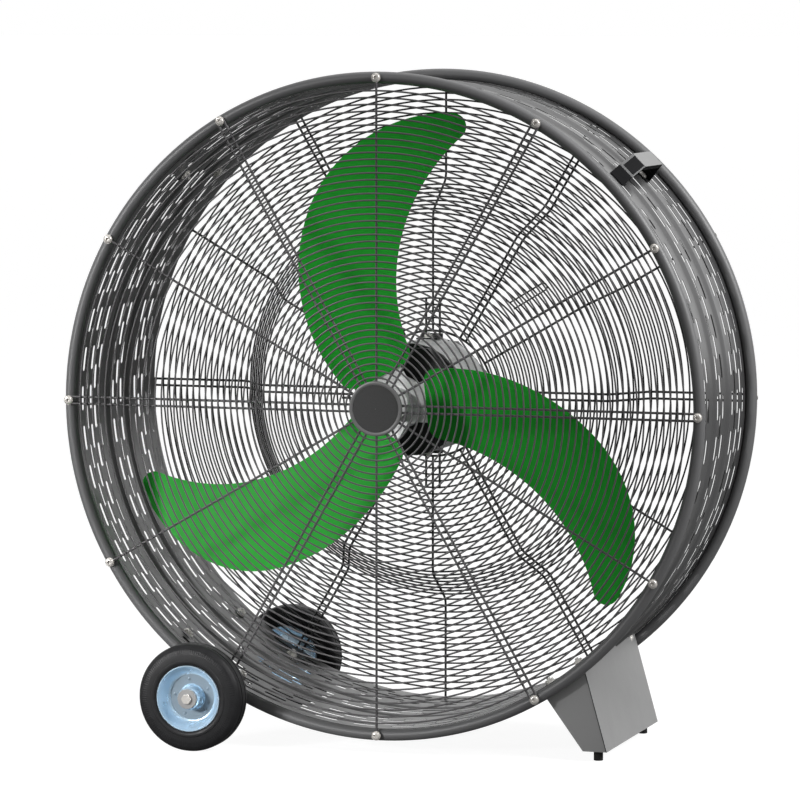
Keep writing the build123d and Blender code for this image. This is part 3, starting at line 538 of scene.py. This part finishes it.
def slot_edge(half):
    """One long edge of a slot, from its left tip to its right, on the side that half points to."""
    radius = SLOT_WIDTH / 2
    straight = SLOT_LENGTH / 2 - radius
    points = []
    for step in range(SLOT_STEPS + 1):
        left = min(step, SLOT_STEPS - step)
        if left <= SLOT_TIP_STEPS:
            angle = pi / 2 * left / SLOT_TIP_STEPS
            end = -1 if step == left else 1
            points.append((end * (straight + radius * cos(angle)), half * radius * sin(angle)))
        else:
            share = (step - SLOT_TIP_STEPS) / (SLOT_STEPS - 2 * SLOT_TIP_STEPS)
            points.append((straight * (2 * share - 1), half * radius))
    return points


def sheet_point(along, across, skin):
    """A point of the sheet's outer skin, which is 0, or of its inner one, which is 1."""
    angle = along / SHELL_OUTER
    radius = SHELL_OUTER - skin * SHEET + sheet_rise(across)
    return (radius * cos(angle), radius * sin(angle), across)


def sheet_round(across, skin):
    """The sheet's points all round the drum, at a distance across it."""
    columns = range(SLOTS_ROUND * SLOT_STEPS)
    return [sheet_point(column * SHEET_STEP, across, skin) for column in columns]


def plain_band(shape, low, high):
    """A part of the sheet without slots."""
    beaded = any(low < place < high for place in BEAD_PLACES)
    count = BEAD_ROWS if beaded else 1
    for skin in (0, 1):
        rows = [sheet_round(low + (high - low) * row / count, skin) for row in range(count + 1)]
        shape.skin(rows, place=DRUM)


def slotted_row(shape, middle, shift):
    """A row of slots, moved round the drum by a share of a slot's span."""
    edges = (slot_edge(-1), slot_edge(1))
    borders = (middle - SLOT_PITCH / 2, middle + SLOT_PITCH / 2)
    count = SLOT_STEPS + 1
    for number in range(SLOTS_ROUND):
        start = (number + shift) * SLOT_SPAN - SLOT_SPAN / 2
        centre = start + SLOT_SPAN / 2
        rims = []
        for skin in (0, 1):
            points, faces = [], []
            for edge, border in zip(edges, borders):
                base = len(points)
                points += [sheet_point(start + step * SHEET_STEP, border, skin) for step in range(count)]
                rim = [sheet_point(centre + along, middle + across, skin) for along, across in edge]
                rims.append(rim)
                points += rim
                for step in range(SLOT_STEPS):
                    a, b = base + step, base + count + step
                    faces.append((a, a + 1, b + 1, b))
            faces.append((0, count, 2 * count))
            faces.append((SLOT_STEPS, count + SLOT_STEPS, 2 * count + SLOT_STEPS))
            shape.add(points, faces, DRUM)
        for rows in (rims[0::2], rims[1::2]):
            shape.skin(rows, round_rows=False, place=DRUM)


def drum_sheet():
    """The drum's sheet with its rows of slots and its beads, both skins and the slots' walls."""
    shape = Shape()
    borders = [-RIM_AHEAD]
    for middle, count in SLOT_BANDS.items():
        for row in range(count):
            place = middle + (row - (count - 1) / 2) * SLOT_PITCH
            slotted_row(shape, place, 0.5 * (row % 2))
        reach = count * SLOT_PITCH / 2
        borders += [middle - reach, middle + reach]
    borders.append(RIM_AHEAD)
    for low, high in zip(borders[::2], borders[1::2]):
        plain_band(shape, low, high)
    for side in (-RIM_AHEAD, RIM_AHEAD):
        shape.skin([sheet_round(side, skin) for skin in (0, 1)], place=DRUM)
    return shape


def weld(shape):
    """The same shape with its shared points made one."""
    mesh = shape_mesh("welding", shape)
    work = bmesh.new()
    work.from_mesh(mesh)
    bmesh.ops.remove_doubles(work, verts=work.verts, dist=2e-5)
    work.verts.index_update()
    merged = Shape()
    merged.points = [vertex.co.copy() for vertex in work.verts]
    merged.faces = [[vertex.index for vertex in face.verts] for face in work.faces]
    work.free()
    bpy.data.meshes.remove(mesh)
    return merged


make("drum_sheet", weld(drum_sheet()), SHEET_GREY, "drum", ("drum_shell",), sharp=30)

for side, name in ((1, "front"), (-1, "rear")):
    tube = Shape().ring(RIM_RADIUS, side * RIM_AHEAD, 2 * RIM_TUBE, steps=240, sides=28)
    make(name + "_rim_tube", tube, FRAME_DARK, "drum", (name + "_rim",))

# ---- guards ----------------------------------------------------------------------------------


def hairpin(route, ahead):
    """A doubled spoke: both its legs inwards along the route, and the bend round its bolt."""
    legs = []
    for side in (-1, 1):
        legs.append([(point.x, side * HAIRPIN_HALF, point.z) for point in route])
    bend = [(RIM_RADIUS + x, y, ahead) for x, y in half_circle(HAIRPIN_HALF)[1:-1]]
    return legs[0][::-1] + bend + legs[1]


def guard_spokes(ahead, corners):
    """A guard's spokes, doubled at the even hours. corners are their inward route from the rim."""
    shape = Shape()
    for hour in range(HOURS):
        place = turned(360 / HOURS * hour)
        if hour % 2 == 0:
            route = rounded([(RIM_RADIUS, 0, ahead)] + corners, BEND_RADIUS)
            shape.wire(hairpin(route, ahead), SPOKE_WIRE, SPOKE_SIDES, place=place)
        else:
            eye = [(RIM_RADIUS + x, y, ahead) for x, y in circle(EYE_RADIUS, 20)]
            shape.wire(eye, SPOKE_WIRE, closed=True, place=place)
            route = rounded([(RIM_RADIUS - EYE_RADIUS, 0, ahead)] + corners, BEND_RADIUS)
            shape.wire(route, SPOKE_WIRE, SPOKE_SIDES, place=place)
    return shape


def front_rings():
    """The rings of the front guard, from its outermost to the badge."""
    shape = Shape()
    ahead = GUARD_FACE + SPOKE_WIRE + RING_WIRE / 2
    radius = RING_OUTER
    while radius > BADGE_RADIUS:
        shape.ring(radius, ahead, RING_WIRE)
        radius -= RING_PITCH
    return shape


def rear_rings():
    """The rings of the rear guard: on its flat, down its slope and over its floor."""
    shape = Shape()
    lift = SPOKE_WIRE / 2 + RING_WIRE / 2
    radius = RING_OUTER
    while radius > DISH_OUTER:
        shape.ring(radius, REAR_FACE - lift, RING_WIRE)
        radius -= RING_PITCH
    run = DISH_OUTER - DISH_INNER
    slope = hypot(run, DISH_DEPTH)
    gaps = round(slope / RING_PITCH)
    for gap in range(1, gaps):
        share = gap / gaps
        radius = DISH_OUTER - run * share - DISH_DEPTH / slope * lift
        shape.ring(radius, REAR_FACE + DISH_DEPTH * share - run / slope * lift, RING_WIRE)
    radius = DISH_INNER - RING_WIRE
    while radius > CENTRE_RING + RING_PITCH / 2:
        shape.ring(radius, REAR_FLOOR - lift, RING_WIRE)
        radius -= RING_PITCH
    shape.ring(CENTRE_RING, REAR_FLOOR + SPOKE_WIRE, SPOKE_WIRE, sides=10)
    return shape


front_ends = [(BADGE_RADIUS - 0.008, 0, FRONT_FACE)]
rear_ends = [(DISH_OUTER, 0, REAR_FACE), (DISH_INNER, 0, REAR_FLOOR), (CENTRE_RING, 0, REAR_FLOOR)]
for name, shape, paint in (
    ("front_guard_rings", front_rings(), WIRE_FRONT),
    ("front_guard_spokes", guard_spokes(FRONT_FACE, front_ends), WIRE_FRONT),
    # The rear guard's wires get the darker copy of the wire paint: painted shade.
    ("rear_guard_rings", rear_rings(), WIRE_REAR_PAINTED_SHADE),
    ("rear_guard_spokes", guard_spokes(REAR_FACE, rear_ends), WIRE_REAR_PAINTED_SHADE),
):
    make(name + "_wire", shape, paint, "drum", (name,), sharp=70)


def hanger_rods():
    """The pairs of rods that run out from the motor's lugs, beside the rear guard's spokes."""
    shape = Shape()
    ahead = -middle_of("hanger_rods").y
    reach = size_of("hanger_rods").z / 2
    for angle in range(0, 360, 90):
        for side in (-HANGER_HALF_GAP, HANGER_HALF_GAP):
            path = [(MOTOR_HIGH.x + LUG_SHEET, side, ahead), (reach, side, ahead)]
            shape.wire(path, SPOKE_WIRE, SPOKE_SIDES, place=turned(angle))
    return shape


def cord_hook():
    """A long wire loop on the rear guard, on which a cord can be hung."""
    x, up = HOOK_START
    place = facing(x, -middle_of("cord_hook").y, AXIS_Z + up) @ Matrix.Rotation(radians(HOOK_ANGLE), 4, "Z")
    middle = HOOK_LENGTH - HOOK_HALF
    lower = [(0, -HOOK_HALF, 0), (middle, -HOOK_HALF, 0)]
    upper = [(middle, HOOK_HALF, 0), (0, HOOK_HALF, 0)]
    bend = [(middle + x, y, 0) for x, y in half_circle(HOOK_HALF)[1:-1]]
    return Shape().wire((lower + bend + upper)[::-1], HOOK_WIRE, SPOKE_SIDES, place=place)


# The hanger rods and the cord hook get the darker copy of the wire paint: painted shade.
make("hanger_rod_wires", hanger_rods(), WIRE_REAR_PAINTED_SHADE, "drum", ("hanger_rods",), sharp=70)
make("cord_hook_wire", cord_hook(), WIRE_REAR_PAINTED_SHADE, "drum", ("cord_hook",), sharp=70)

# ---- fasteners -------------------------------------------------------------------------------


def washer(shape, place, radius, thickness):
    """A plain washer on height 0."""
    shape.lathe([(0.0035, 0), (radius, 0), (radius, thickness), (0.0035, thickness)], 32, place)


def button_screw(shape, place):
    """A button-head socket screw on a washer, its seat at height 0."""
    washer(shape, place, 0.0088, 0.0012)
    head = [
        (0.0001, 0.0012),
        (0.00775, 0.0012),
        (0.00775, 0.0019),
        (0.0073625, 0.0030),
        (0.006355, 0.0040),
        (0.00465, 0.0046),
        (0.0034, 0.0046),
        (0.0031, 0.0043),
        (0.0031, 0.0016),
        (0.0001, 0.0014),
    ]
    shape.lathe(head, 24, place)


def hex_nut(shape, place, across=0.016, tall=0.006, seat=0.018):
    """A hexagon nut on a washer, with the end of its bolt showing. across is over its corners."""
    washer(shape, place, seat / 2, 0.0014)
    shape.prism(circle(across / 2, 6), 0.0014, tall, place)
    end = [(0.0036, tall + 0.0032), (0.0029, tall + 0.0040), (0.0001, tall + 0.0040)]
    shape.lathe([(0.0001, 0.001), (0.0036, 0.001)] + end, 20, place)


def guard_screws(side):
    """A guard's screws at every hour, side being 1 at the front and -1 at the rear."""
    shape = Shape()
    for hour in range(HOURS):
        seat = Matrix.Translation((RIM_RADIUS, 0, side * (GUARD_FACE + SPOKE_WIRE)))
        spot = turned(360 / HOURS * hour) @ seat
        if side < 0:
            spot = spot @ Matrix.Rotation(pi, 4, "X")
        button_screw(shape, spot)
    return shape


make("front_guard_screws", guard_screws(1), BOLT_ZINC, "drum", ("front_guard_bolts",))
make("rear_guard_screws", guard_screws(-1), BOLT_ZINC, "drum", ("rear_guard_bolts",))

# ---- badge -----------------------------------------------------------------------------------


def badge_rim():
    """The badge's raised rim and the plate behind its face."""
    face = BADGE_RADIUS - BADGE_RIM
    low, high = GUARD_FACE + SPOKE_WIRE, BADGE_AHEAD
    profile = [
        (0.0005, low),
        (BADGE_RADIUS - 0.0006, low),
        (BADGE_RADIUS, low + 0.0006),
        (BADGE_RADIUS, high - 0.0016),
        (BADGE_RADIUS - 0.0005, high - 0.0005),
        (BADGE_RADIUS - 0.0018, high),
        (face + 0.0014, high),
        (face + 0.0003, high - 0.0005),
        (face, high - BADGE_SUNK),
        (0.0005, high - BADGE_SUNK),
    ]
    return Shape().lathe(profile, 96, DRUM)


def badge_disc():
    """The badge's face, inside its rim."""
    face = BADGE_RADIUS - BADGE_RIM - 0.0002
    low, high = BADGE_AHEAD - 0.0016, BADGE_AHEAD - 0.0012
    return Shape().lathe([(0.0005, low), (face, low), (face, high), (0.0005, high)], 96, DRUM)


make("badge_ring", badge_rim(), BADGE_RIM_GREY, "drum", ("guard_badge",))
make("badge_plate", badge_disc(), BADGE_DARK, "drum")

# ---- motor -----------------------------------------------------------------------------------


def motor_body():
    """The motor's case: a cylinder with shallow seams along it."""
    outer = MOTOR_HIGH.x / cos(pi / MOTOR_SIDES)
    low, high = -MOTOR_HIGH.y, -MOTOR_LOW.y
    profile = [(MOTOR_EDGE, low), (0, low + MOTOR_EDGE), (0, high - MOTOR_EDGE), (MOTOR_EDGE, high)]
    rows = []
    for step in range(MOTOR_STEPS):
        angle = 2 * pi * step / MOTOR_STEPS
        radius = outer - (SEAM_DEPTH if step % SEAM_EVERY == SEAM_EVERY // 2 else 0.0)
        section = [(radius - cut, height) for cut, height in profile]
        rows.append([(reach * cos(angle), reach * sin(angle), height) for reach, height in section])
    return Shape().skin(rows, round_rows=False, closed=True, place=DRUM)


make("motor_case", motor_body(), MOTOR_METAL, "drum", ("motor_housing",), sharp=40)
dress("motor_front_bell", BLACK, "drum", 0.004)
dress("motor_rear_bell", BLACK, "drum", 0.004)
dress("motor_lugs", BLACK, "drum")
dress("cable_gland", NYLON, "drum")


def lug_nuts():
    """A nut on each of the motor's lugs."""
    shape = Shape()
    ahead = -middle_of("motor_bolts").y
    for angle in range(0, 360, 90):
        hex_nut(shape, radial(angle, MOTOR_HIGH.x + LUG_SHEET, ahead))
    return shape


# The lug nuts get the lighter zinc: painted light on their shaded sides.
make("lug_nuts", lug_nuts(), NUT_ZINC_PAINTED_LIGHT, "drum", ("motor_bolts",))

# ---- fan -------------------------------------------------------------------------------------

dress("fan_hub", HUB_METAL, "fan", 0.0015)
for number in (1, 2, 3):
    dress(f"blade_{number}", GREEN, "fan", 0.0012, flat=False)
# The blade nuts get the lighter zinc: painted light.
dress("blade_nuts", NUT_ZINC_PAINTED_LIGHT, "fan")

# ---- wheels ----------------------------------------------------------------------------------


def tyre_profile():
    """Half the tyre's section, from its bead to the middle of its tread, as radius and height."""
    half = WHEEL_WIDTH / 2
    outer, inner = WHEEL_RADIUS, WHEEL_SEAT
    return [
        (inner, half * 0.80),
        (inner + 0.001, half * 0.93),
        (inner + 0.004, half * 0.985),
        (inner + 0.0065, half),
        (inner + 0.0095, half * 0.99),
        (inner + 0.0105, half * 0.955),
        (inner + 0.012, half * 0.95),
        (outer - 0.0190, half * 0.945),
        (outer - 0.0180, half * 0.945),
        (outer - 0.0110, half * 0.90),
        (outer - 0.0068, half * 0.84),
        (outer - 0.0062, half * 0.80),
        (outer - 0.0040, half * 0.76),
        (outer - 0.0012, half * 0.62),
        (outer - 0.0002, half * 0.45),
        (outer - 0.0002, half * 0.36),
        (outer - 0.0030, half * 0.34),
        (outer - 0.0030, half * 0.26),
        (outer, half * 0.24),
    ]


def tyre(shape, place):
    """A tyre with a ribbed shoulder on both sides."""
    half = tyre_profile()
    profile = half + [(radius, -height) for radius, height in half[::-1]]
    count = TYRE_RIBS * RIB_STEPS
    rows = []
    for side in range(count):
        angle = 2 * pi * side / count
        groove = RIB_SUNK if side % RIB_STEPS < RIB_STEPS / 2 else 0.0
        row = []
        for radius, height in profile:
            sunk = groove if RIB_INNER < radius < RIB_OUTER else 0.0
            row.append((radius * cos(angle), radius * sin(angle), height - sunk * (1 if height > 0 else -1)))
        rows.append(row)
    shape.skin(rows, closed=True, place=place)


def mirrored_lathe(shape, front, place):
    """A turned piece that is the same from both sides, from the profile of its front half."""
    shape.lathe(front + [(radius, -height) for radius, height in front[::-1]], 96, place)


def wheel_dish(shape, place):
    """The wheel's rolled edge and its hollow side."""
    half = WHEEL_WIDTH / 2
    front = [
        (WHEEL_SEAT - 0.0002, half * 0.80),
        (WHEEL_SEAT - 0.0002, half * 0.94),
        (WHEEL_SEAT - 0.0010, half * 0.965),
        (WHEEL_SEAT - 0.0020, half * 0.965),
        (WHEEL_SEAT - 0.0026, half * 0.94),
        (WHEEL_SEAT - 0.0028, half * 0.88),
        (WHEEL_SEAT - 0.0042, half * 0.83),
        (0.0572, half * 0.76),
        (0.0552, half * 0.60),
        (0.0528, half * 0.45),
        (0.0500, half * 0.32),
        (0.0470, half * 0.22),
        (0.0446, half * 0.17),
        (0.0436, half * 0.17),
        (0.0433, half * 0.14),
    ]
    mirrored_lathe(shape, front, place)


def wheel_plate(shape, place):
    """The wheel's flat middle, with small domes pressed up out of it on both sides."""
    face = WHEEL_WIDTH / 2 * 0.12
    mirrored_lathe(shape, [(0.0437, face), (0.0246, face)], place)
    dome = [
        (0.0001, face - 0.0001),
        (0.0032, face - 0.0001),
        (0.0028, face + 0.0006),
        (0.0018, face + 0.0010),
        (0.0001, face + 0.0011),
    ]
    for mark in range(MARK_COUNT):
        angle = radians(MARK_START + 360 / MARK_COUNT * mark)
        turn = Matrix.Rotation(angle, 4, "Z") @ Matrix.Translation((MARK_RADIUS, 0, 0))
        for spot in (turn, Matrix.Rotation(pi, 4, "X") @ turn):
            shape.lathe(dome, 20, place @ spot)


def wheel_boss(shape, place):
    """The wheel's boss, flared where it meets the plate."""
    half = WHEEL_WIDTH / 2
    front = [
        (0.0256, half * 0.12),
        (0.0255, half * 0.15),
        (0.0250, half * 0.175),
        (0.0243, half * 0.175),
        (0.0236, half * 0.15),
        (0.0229, half * 0.19),
        (0.0216, half * 0.50),
        (0.0208, half * 0.90),
        (0.0195, half * 0.985),
        (0.0140, half * 0.985),
    ]
    mirrored_lathe(shape, front, place)


for side, name in ((1, "front"), (-1, "rear")):
    hub = facing(WHEEL_X, side * WHEEL_OFFSET, WHEEL_RADIUS)
    body = name + "_wheel"
    tread, disc, plate = Shape(), Shape(), Shape()
    tyre(tread, hub)
    wheel_dish(disc, hub)
    wheel_boss(disc, hub)
    wheel_plate(plate, hub)
    make(name + "_tyre_rubber", tread, TYRE, body, (name + "_tyre",), sharp=40)
    make(name + "_wheel_disc", disc, WHEEL_ZINC, body, (name + "_wheel_rim",), sharp=40)
    # The flat middle gets the darker zinc copy: painted shade.
    make(name + "_wheel_plate", plate, PLATE_ZINC_PAINTED_SHADE, body, sharp=40)
    dress(name + "_wheel_bush", NYLON, body, 0.0003)

dress("axle", STEEL, "drum", 0.0005)
dress("axle_collars", STEEL, "drum", 0.0005)
dress("axle_caps", CAP_GREY, "drum", 0.0008)
dress("axle_bolts", BOLT_ZINC, "drum", 0.0008)
dress("axle_brackets", BLACK, "drum")

# ---- handles and foot ------------------------------------------------------------------------


def bar(shape, place, points, low=-HANDLE_HALF, high=HANDLE_HALF, side=1):
    """A straight piece of a handle, its section mirrored where side is -1."""
    shape.prism([(side * along, up) for along, up in points], low, high, place)


def handle_strip(place):
    """A handle's bent strip, with a lip down each side of its top."""
    shape = Shape()
    half, sheet, crown, middle = HANDLE_HALF, HANDLE_SHEET, HANDLE_CROWN, HANDLE_MIDDLE
    top, waist, step, toe, heel = 0.0635, 0.0835, 0.0865, 0.0995, 0.076
    bar(shape, place, [(-top, crown), (top, crown), (top, crown - sheet), (-top, crown - sheet)])
    lip, low = top - 0.004, crown - HANDLE_LIP
    for side in (-1, 1):
        edges = sorted((side * half, side * (half - sheet)))
        bar(shape, place, [(-lip, low), (lip, low), (lip, crown), (-lip, crown)], *edges)
    leg = [(top, crown), (waist, middle), (waist - sheet, middle), (top - sheet, crown - sheet)]
    ledge = [(waist - sheet, middle), (step, middle), (step, middle - sheet), (waist - sheet, middle - sheet)]
    shin = [(step, middle), (toe, 0), (toe - sheet, 0), (step - sheet, middle)]
    sole = [(toe, 0), (heel, 0), (heel, sheet), (toe, sheet)]
    for side in (-1, 1):
        for section in (leg, ledge, shin, sole):
            bar(shape, place, section, side=side)
    return shape


def handle_edges(place):
    """The raised edges of a handle's legs."""
    shape = Shape()
    half, crown, middle = HANDLE_HALF, HANDLE_CROWN, HANDLE_MIDDLE
    top, waist, rise = 0.0635, 0.0835, 0.0035
    rail = [(top, crown), (waist + 0.001, middle), (waist + 0.003, middle), (top + 0.002, crown)]
    sill = [(waist - 0.0015, middle + rise), (waist + 0.001, middle)]
    sill += [(waist + 0.003, middle), (waist + 0.0005, middle + rise)]
    for side in (-1, 1):
        bar(shape, place, rail, -half, -half + 0.003, side)
        bar(shape, place, rail, half - 0.005, half, side)
        bar(shape, place, sill, side=side)
    return shape


def handle_top_and_light(place):
    """A light plate on a handle's top. Its light grey is partly painted light where the lamps fall on the
    top.
    """
    top, low, high = 0.0635, HANDLE_CROWN, HANDLE_CROWN + 0.0013
    shape = Shape()
    bar(shape, place, [(-top, low), (top, low), (top - 0.001, high), (-top + 0.001, high)])
    return shape


for name, angle in HANDLE_ANGLES.items():
    place = radial(angle, HANDLE_SEAT, 0) @ Matrix.Rotation(pi / 2, 4, "X")
    # A near-black strip, partly painted shade, under a light top plate, partly painted light.
    make(name + "_strip", handle_strip(place), HANDLE_DARK_AND_SHADE, "drum", (name,), edge=0.0005)
    make(name + "_edges", handle_edges(place), FRAME_DARK, "drum", edge=0.0004)
    make(name + "_top", handle_top_and_light(place), HANDLE_TOP_AND_LIGHT, "drum", edge=0.0004)

dress("foot_stand", FOOT_GREY, "drum", 0.0012)
dress("rubber_feet", PAD, "drum", 0.001)
dress("foot_studs", BOLT_ZINC, "drum", 0.0005)


def sheet_bolts(angles, offset, outside):
    """Bolts through the drum sheet: nuts on washers inside, and heads outside at a radius."""
    shape = Shape()
    for angle in angles:
        for side in (-1, 1):
            inner = radial(angle, SHELL_OUTER - 0.0018, side * offset) @ Matrix.Rotation(pi, 4, "X")
            hex_nut(shape, inner, across=0.0175, tall=0.0075, seat=0.022)
            button_screw(shape, radial(angle, outside, side * offset))
    return shape


foot_bolts = sheet_bolts(FOOT_BOLT_ANGLES, FOOT_BOLT_OFFSET, SHELL_OUTER + 0.0025)
for side in (-1, 1):
    spot = radial(FOOT_LEAN, 0, 0)
    spot.translation = polar(SHELL_OUTER + 0.005, PLATE_SCREW_ANGLE, side * FOOT_BOLT_OFFSET)
    button_screw(foot_bolts, spot)
handle_bolts = sheet_bolts(HANDLE_ANGLES.values(), HANDLE_BOLT_OFFSET, SHELL_OUTER + 0.0023)
bracket_bolts = sheet_bolts(BRACKET_BOLT_ANGLES, BRACKET_BOLT_OFFSET, SHELL_OUTER + 0.0052)
# These nuts and bolts get the lighter zinc: painted light where they stand in the drum's shade.
make("handle_bolts_set", handle_bolts, NUT_ZINC_PAINTED_LIGHT, "drum", ("handle_bolts",))
make("bracket_bolts_set", bracket_bolts, NUT_ZINC_PAINTED_LIGHT, "drum", ("bracket_bolts",))
make("foot_bolts_set", foot_bolts, NUT_ZINC_PAINTED_LIGHT, "drum", ("foot_bolts",))


def foot_seams():
    """The dark gaps at both ends of the foot's outer plate."""
    shape = Shape()
    ends = (Vector((FOOT_HIGH.x, 0, FOOT_LOW.z)), polar(SHELL_OUTER, FOOT_TOP_ANGLE))
    for face in (FOOT_LOW.y, FOOT_HIGH.y):
        rise = SEAM_RISE if face > 0 else -SEAM_RISE
        rows = []
        for end in ends:
            inner = end.x - SEAM_WIDTH
            corners = [(end.x, face - rise), (inner, face - rise), (inner, face + rise), (end.x, face + rise)]
            rows.append([(x, y, end.z) for x, y in corners])
        shape.skin(rows, caps=True)
    return shape


make("foot_seams", foot_seams(), BLACK, "drum")

for node in ("motor_bearings", "stator", "motor_shaft", "rotor"):
    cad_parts[node].data.materials.clear()
    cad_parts[node].data.materials.append(STEEL)

# ---- stage -----------------------------------------------------------------------------------

CAMERA_PLACE = Vector((2.5509, -8.0976, 1.3927))
CAMERA_AIM = Vector((-0.0240, 0.0, 0.6456))
CAMERA_LENS = 201.24
FLOOR_SIZE = 400.0
FLOOR_GREY = 0.18
FLOOR_SEEN = 0.93  # the floor's own light, as the camera sees it
FLOOR_MIRRORED = 0.02  # and as reflections see it
AMBIENT = 0.25  # the world's light on every surface
ROOM = 0.25  # how bright the room is in a reflection, opposite the backdrop

camera = bpy.data.objects.new("camera", bpy.data.cameras.new("camera"))
camera.location = CAMERA_PLACE
camera.rotation_euler = (CAMERA_AIM - CAMERA_PLACE).to_track_quat("-Z", "Y").to_euler()
camera.data.lens = CAMERA_LENS
camera.data.clip_end = 1000
bpy.context.scene.collection.objects.link(camera)
bpy.context.scene.camera = camera


def maths(tree, operation, first, second):
    """One sum of two values, each of them a socket or a number."""
    node = tree.nodes.new("ShaderNodeMath")
    node.operation = operation
    for socket, value in zip(node.inputs, (first, second)):
        if isinstance(value, float):
            socket.default_value = value
        else:
            tree.links.new(value, socket)
    return node.outputs["Value"]


def make_floor():
    """A pale floor that looks white and keeps a faint shadow of the fan."""
    mesh = bpy.data.meshes.new("floor")
    half = FLOOR_SIZE / 2
    corners = [(-half, -half, 0), (half, -half, 0), (half, half, 0), (-half, half, 0)]
    mesh.from_pydata(corners, [], [(0, 1, 2, 3)])
    floor = bpy.data.objects.new("floor", mesh)
    bpy.context.scene.collection.objects.link(floor)
    material = bpy.data.materials.new("floor_white")
    material.use_nodes = True
    tree = material.node_tree
    shader = tree.nodes["Principled BSDF"]
    shader.inputs["Base Color"].default_value = (FLOOR_GREY, FLOOR_GREY, FLOOR_GREY, 1)
    shader.inputs["Roughness"].default_value = 0.9
    shader.inputs["Specular IOR Level"].default_value = 0.1
    path = tree.nodes.new("ShaderNodeLightPath")
    seen = maths(tree, "MULTIPLY", path.outputs["Is Camera Ray"], FLOOR_SEEN)
    mirrored = maths(tree, "MAXIMUM", path.outputs["Is Glossy Ray"], path.outputs["Is Transmission Ray"])
    light = maths(tree, "MAXIMUM", seen, maths(tree, "MULTIPLY", mirrored, FLOOR_MIRRORED))
    shader.inputs["Emission Color"].default_value = (*WHITE, 1)
    tree.links.new(light, shader.inputs["Emission Strength"])
    mesh.materials.append(material)


def make_world():
    """Even light all round, and a white backdrop that the camera and reflections see."""
    world = bpy.data.worlds.new("studio")
    world.use_nodes = True
    bpy.context.scene.world = world
    tree = world.node_tree
    path = tree.nodes.new("ShaderNodeLightPath")
    aim = tree.nodes.new("ShaderNodeSeparateXYZ")
    tree.links.new(tree.nodes.new("ShaderNodeTexCoord").outputs["Generated"], aim.inputs["Vector"])
    backdrop = tree.nodes.new("ShaderNodeMapRange")
    backdrop.inputs["From Min"].default_value = -0.4
    backdrop.inputs["From Max"].default_value = 0.8
    backdrop.inputs["To Min"].default_value = ROOM
    backdrop.inputs["To Max"].default_value = 1.0
    tree.links.new(aim.outputs["Y"], backdrop.inputs["Value"])
    mirrored = maths(tree, "MAXIMUM", path.outputs["Is Glossy Ray"], path.outputs["Is Transmission Ray"])
    mirrored = maths(tree, "MULTIPLY", mirrored, backdrop.outputs["Result"])
    seen = maths(tree, "MAXIMUM", path.outputs["Is Camera Ray"], mirrored)
    light = tree.nodes["Background"]
    light.inputs["Color"].default_value = (*WHITE, 1)
    tree.links.new(maths(tree, "MAXIMUM", seen, AMBIENT), light.inputs["Strength"])


def softbox(name, place, aim, width, height, power, spread=180):
    """A soft rectangular studio lamp that faces a point."""
    data = bpy.data.lights.new(name, "AREA")
    data.shape = "RECTANGLE"
    data.size = width
    data.size_y = height
    data.energy = power
    data.spread = radians(spread)
    lamp = bpy.data.objects.new(name, data)
    lamp.location = place
    lamp.rotation_euler = (Vector(aim) - Vector(place)).to_track_quat("-Z", "Y").to_euler()
    bpy.context.scene.collection.objects.link(lamp)


make_floor()
make_world()
softbox("key_softbox", (3.7, -0.8, 3.3), (0, 0, 0.65), 2.0, 2.5, 220)
softbox("top_softbox", (0.0, 0.6, 4.4), (0, 0, 0.65), 3.0, 3.0, 30)
softbox("left_softbox", (-3.2, -4.1, 1.8), (-0.44, 0, 0.46), 1.3, 1.3, 5.2, spread=13)
softbox("wheel_softbox", (-1.9, -3.6, 1.2), (-0.34, -0.30, 0.10), 0.5, 0.5, 0.16, spread=7)

bpy.context.scene.view_settings.view_transform = "Standard"
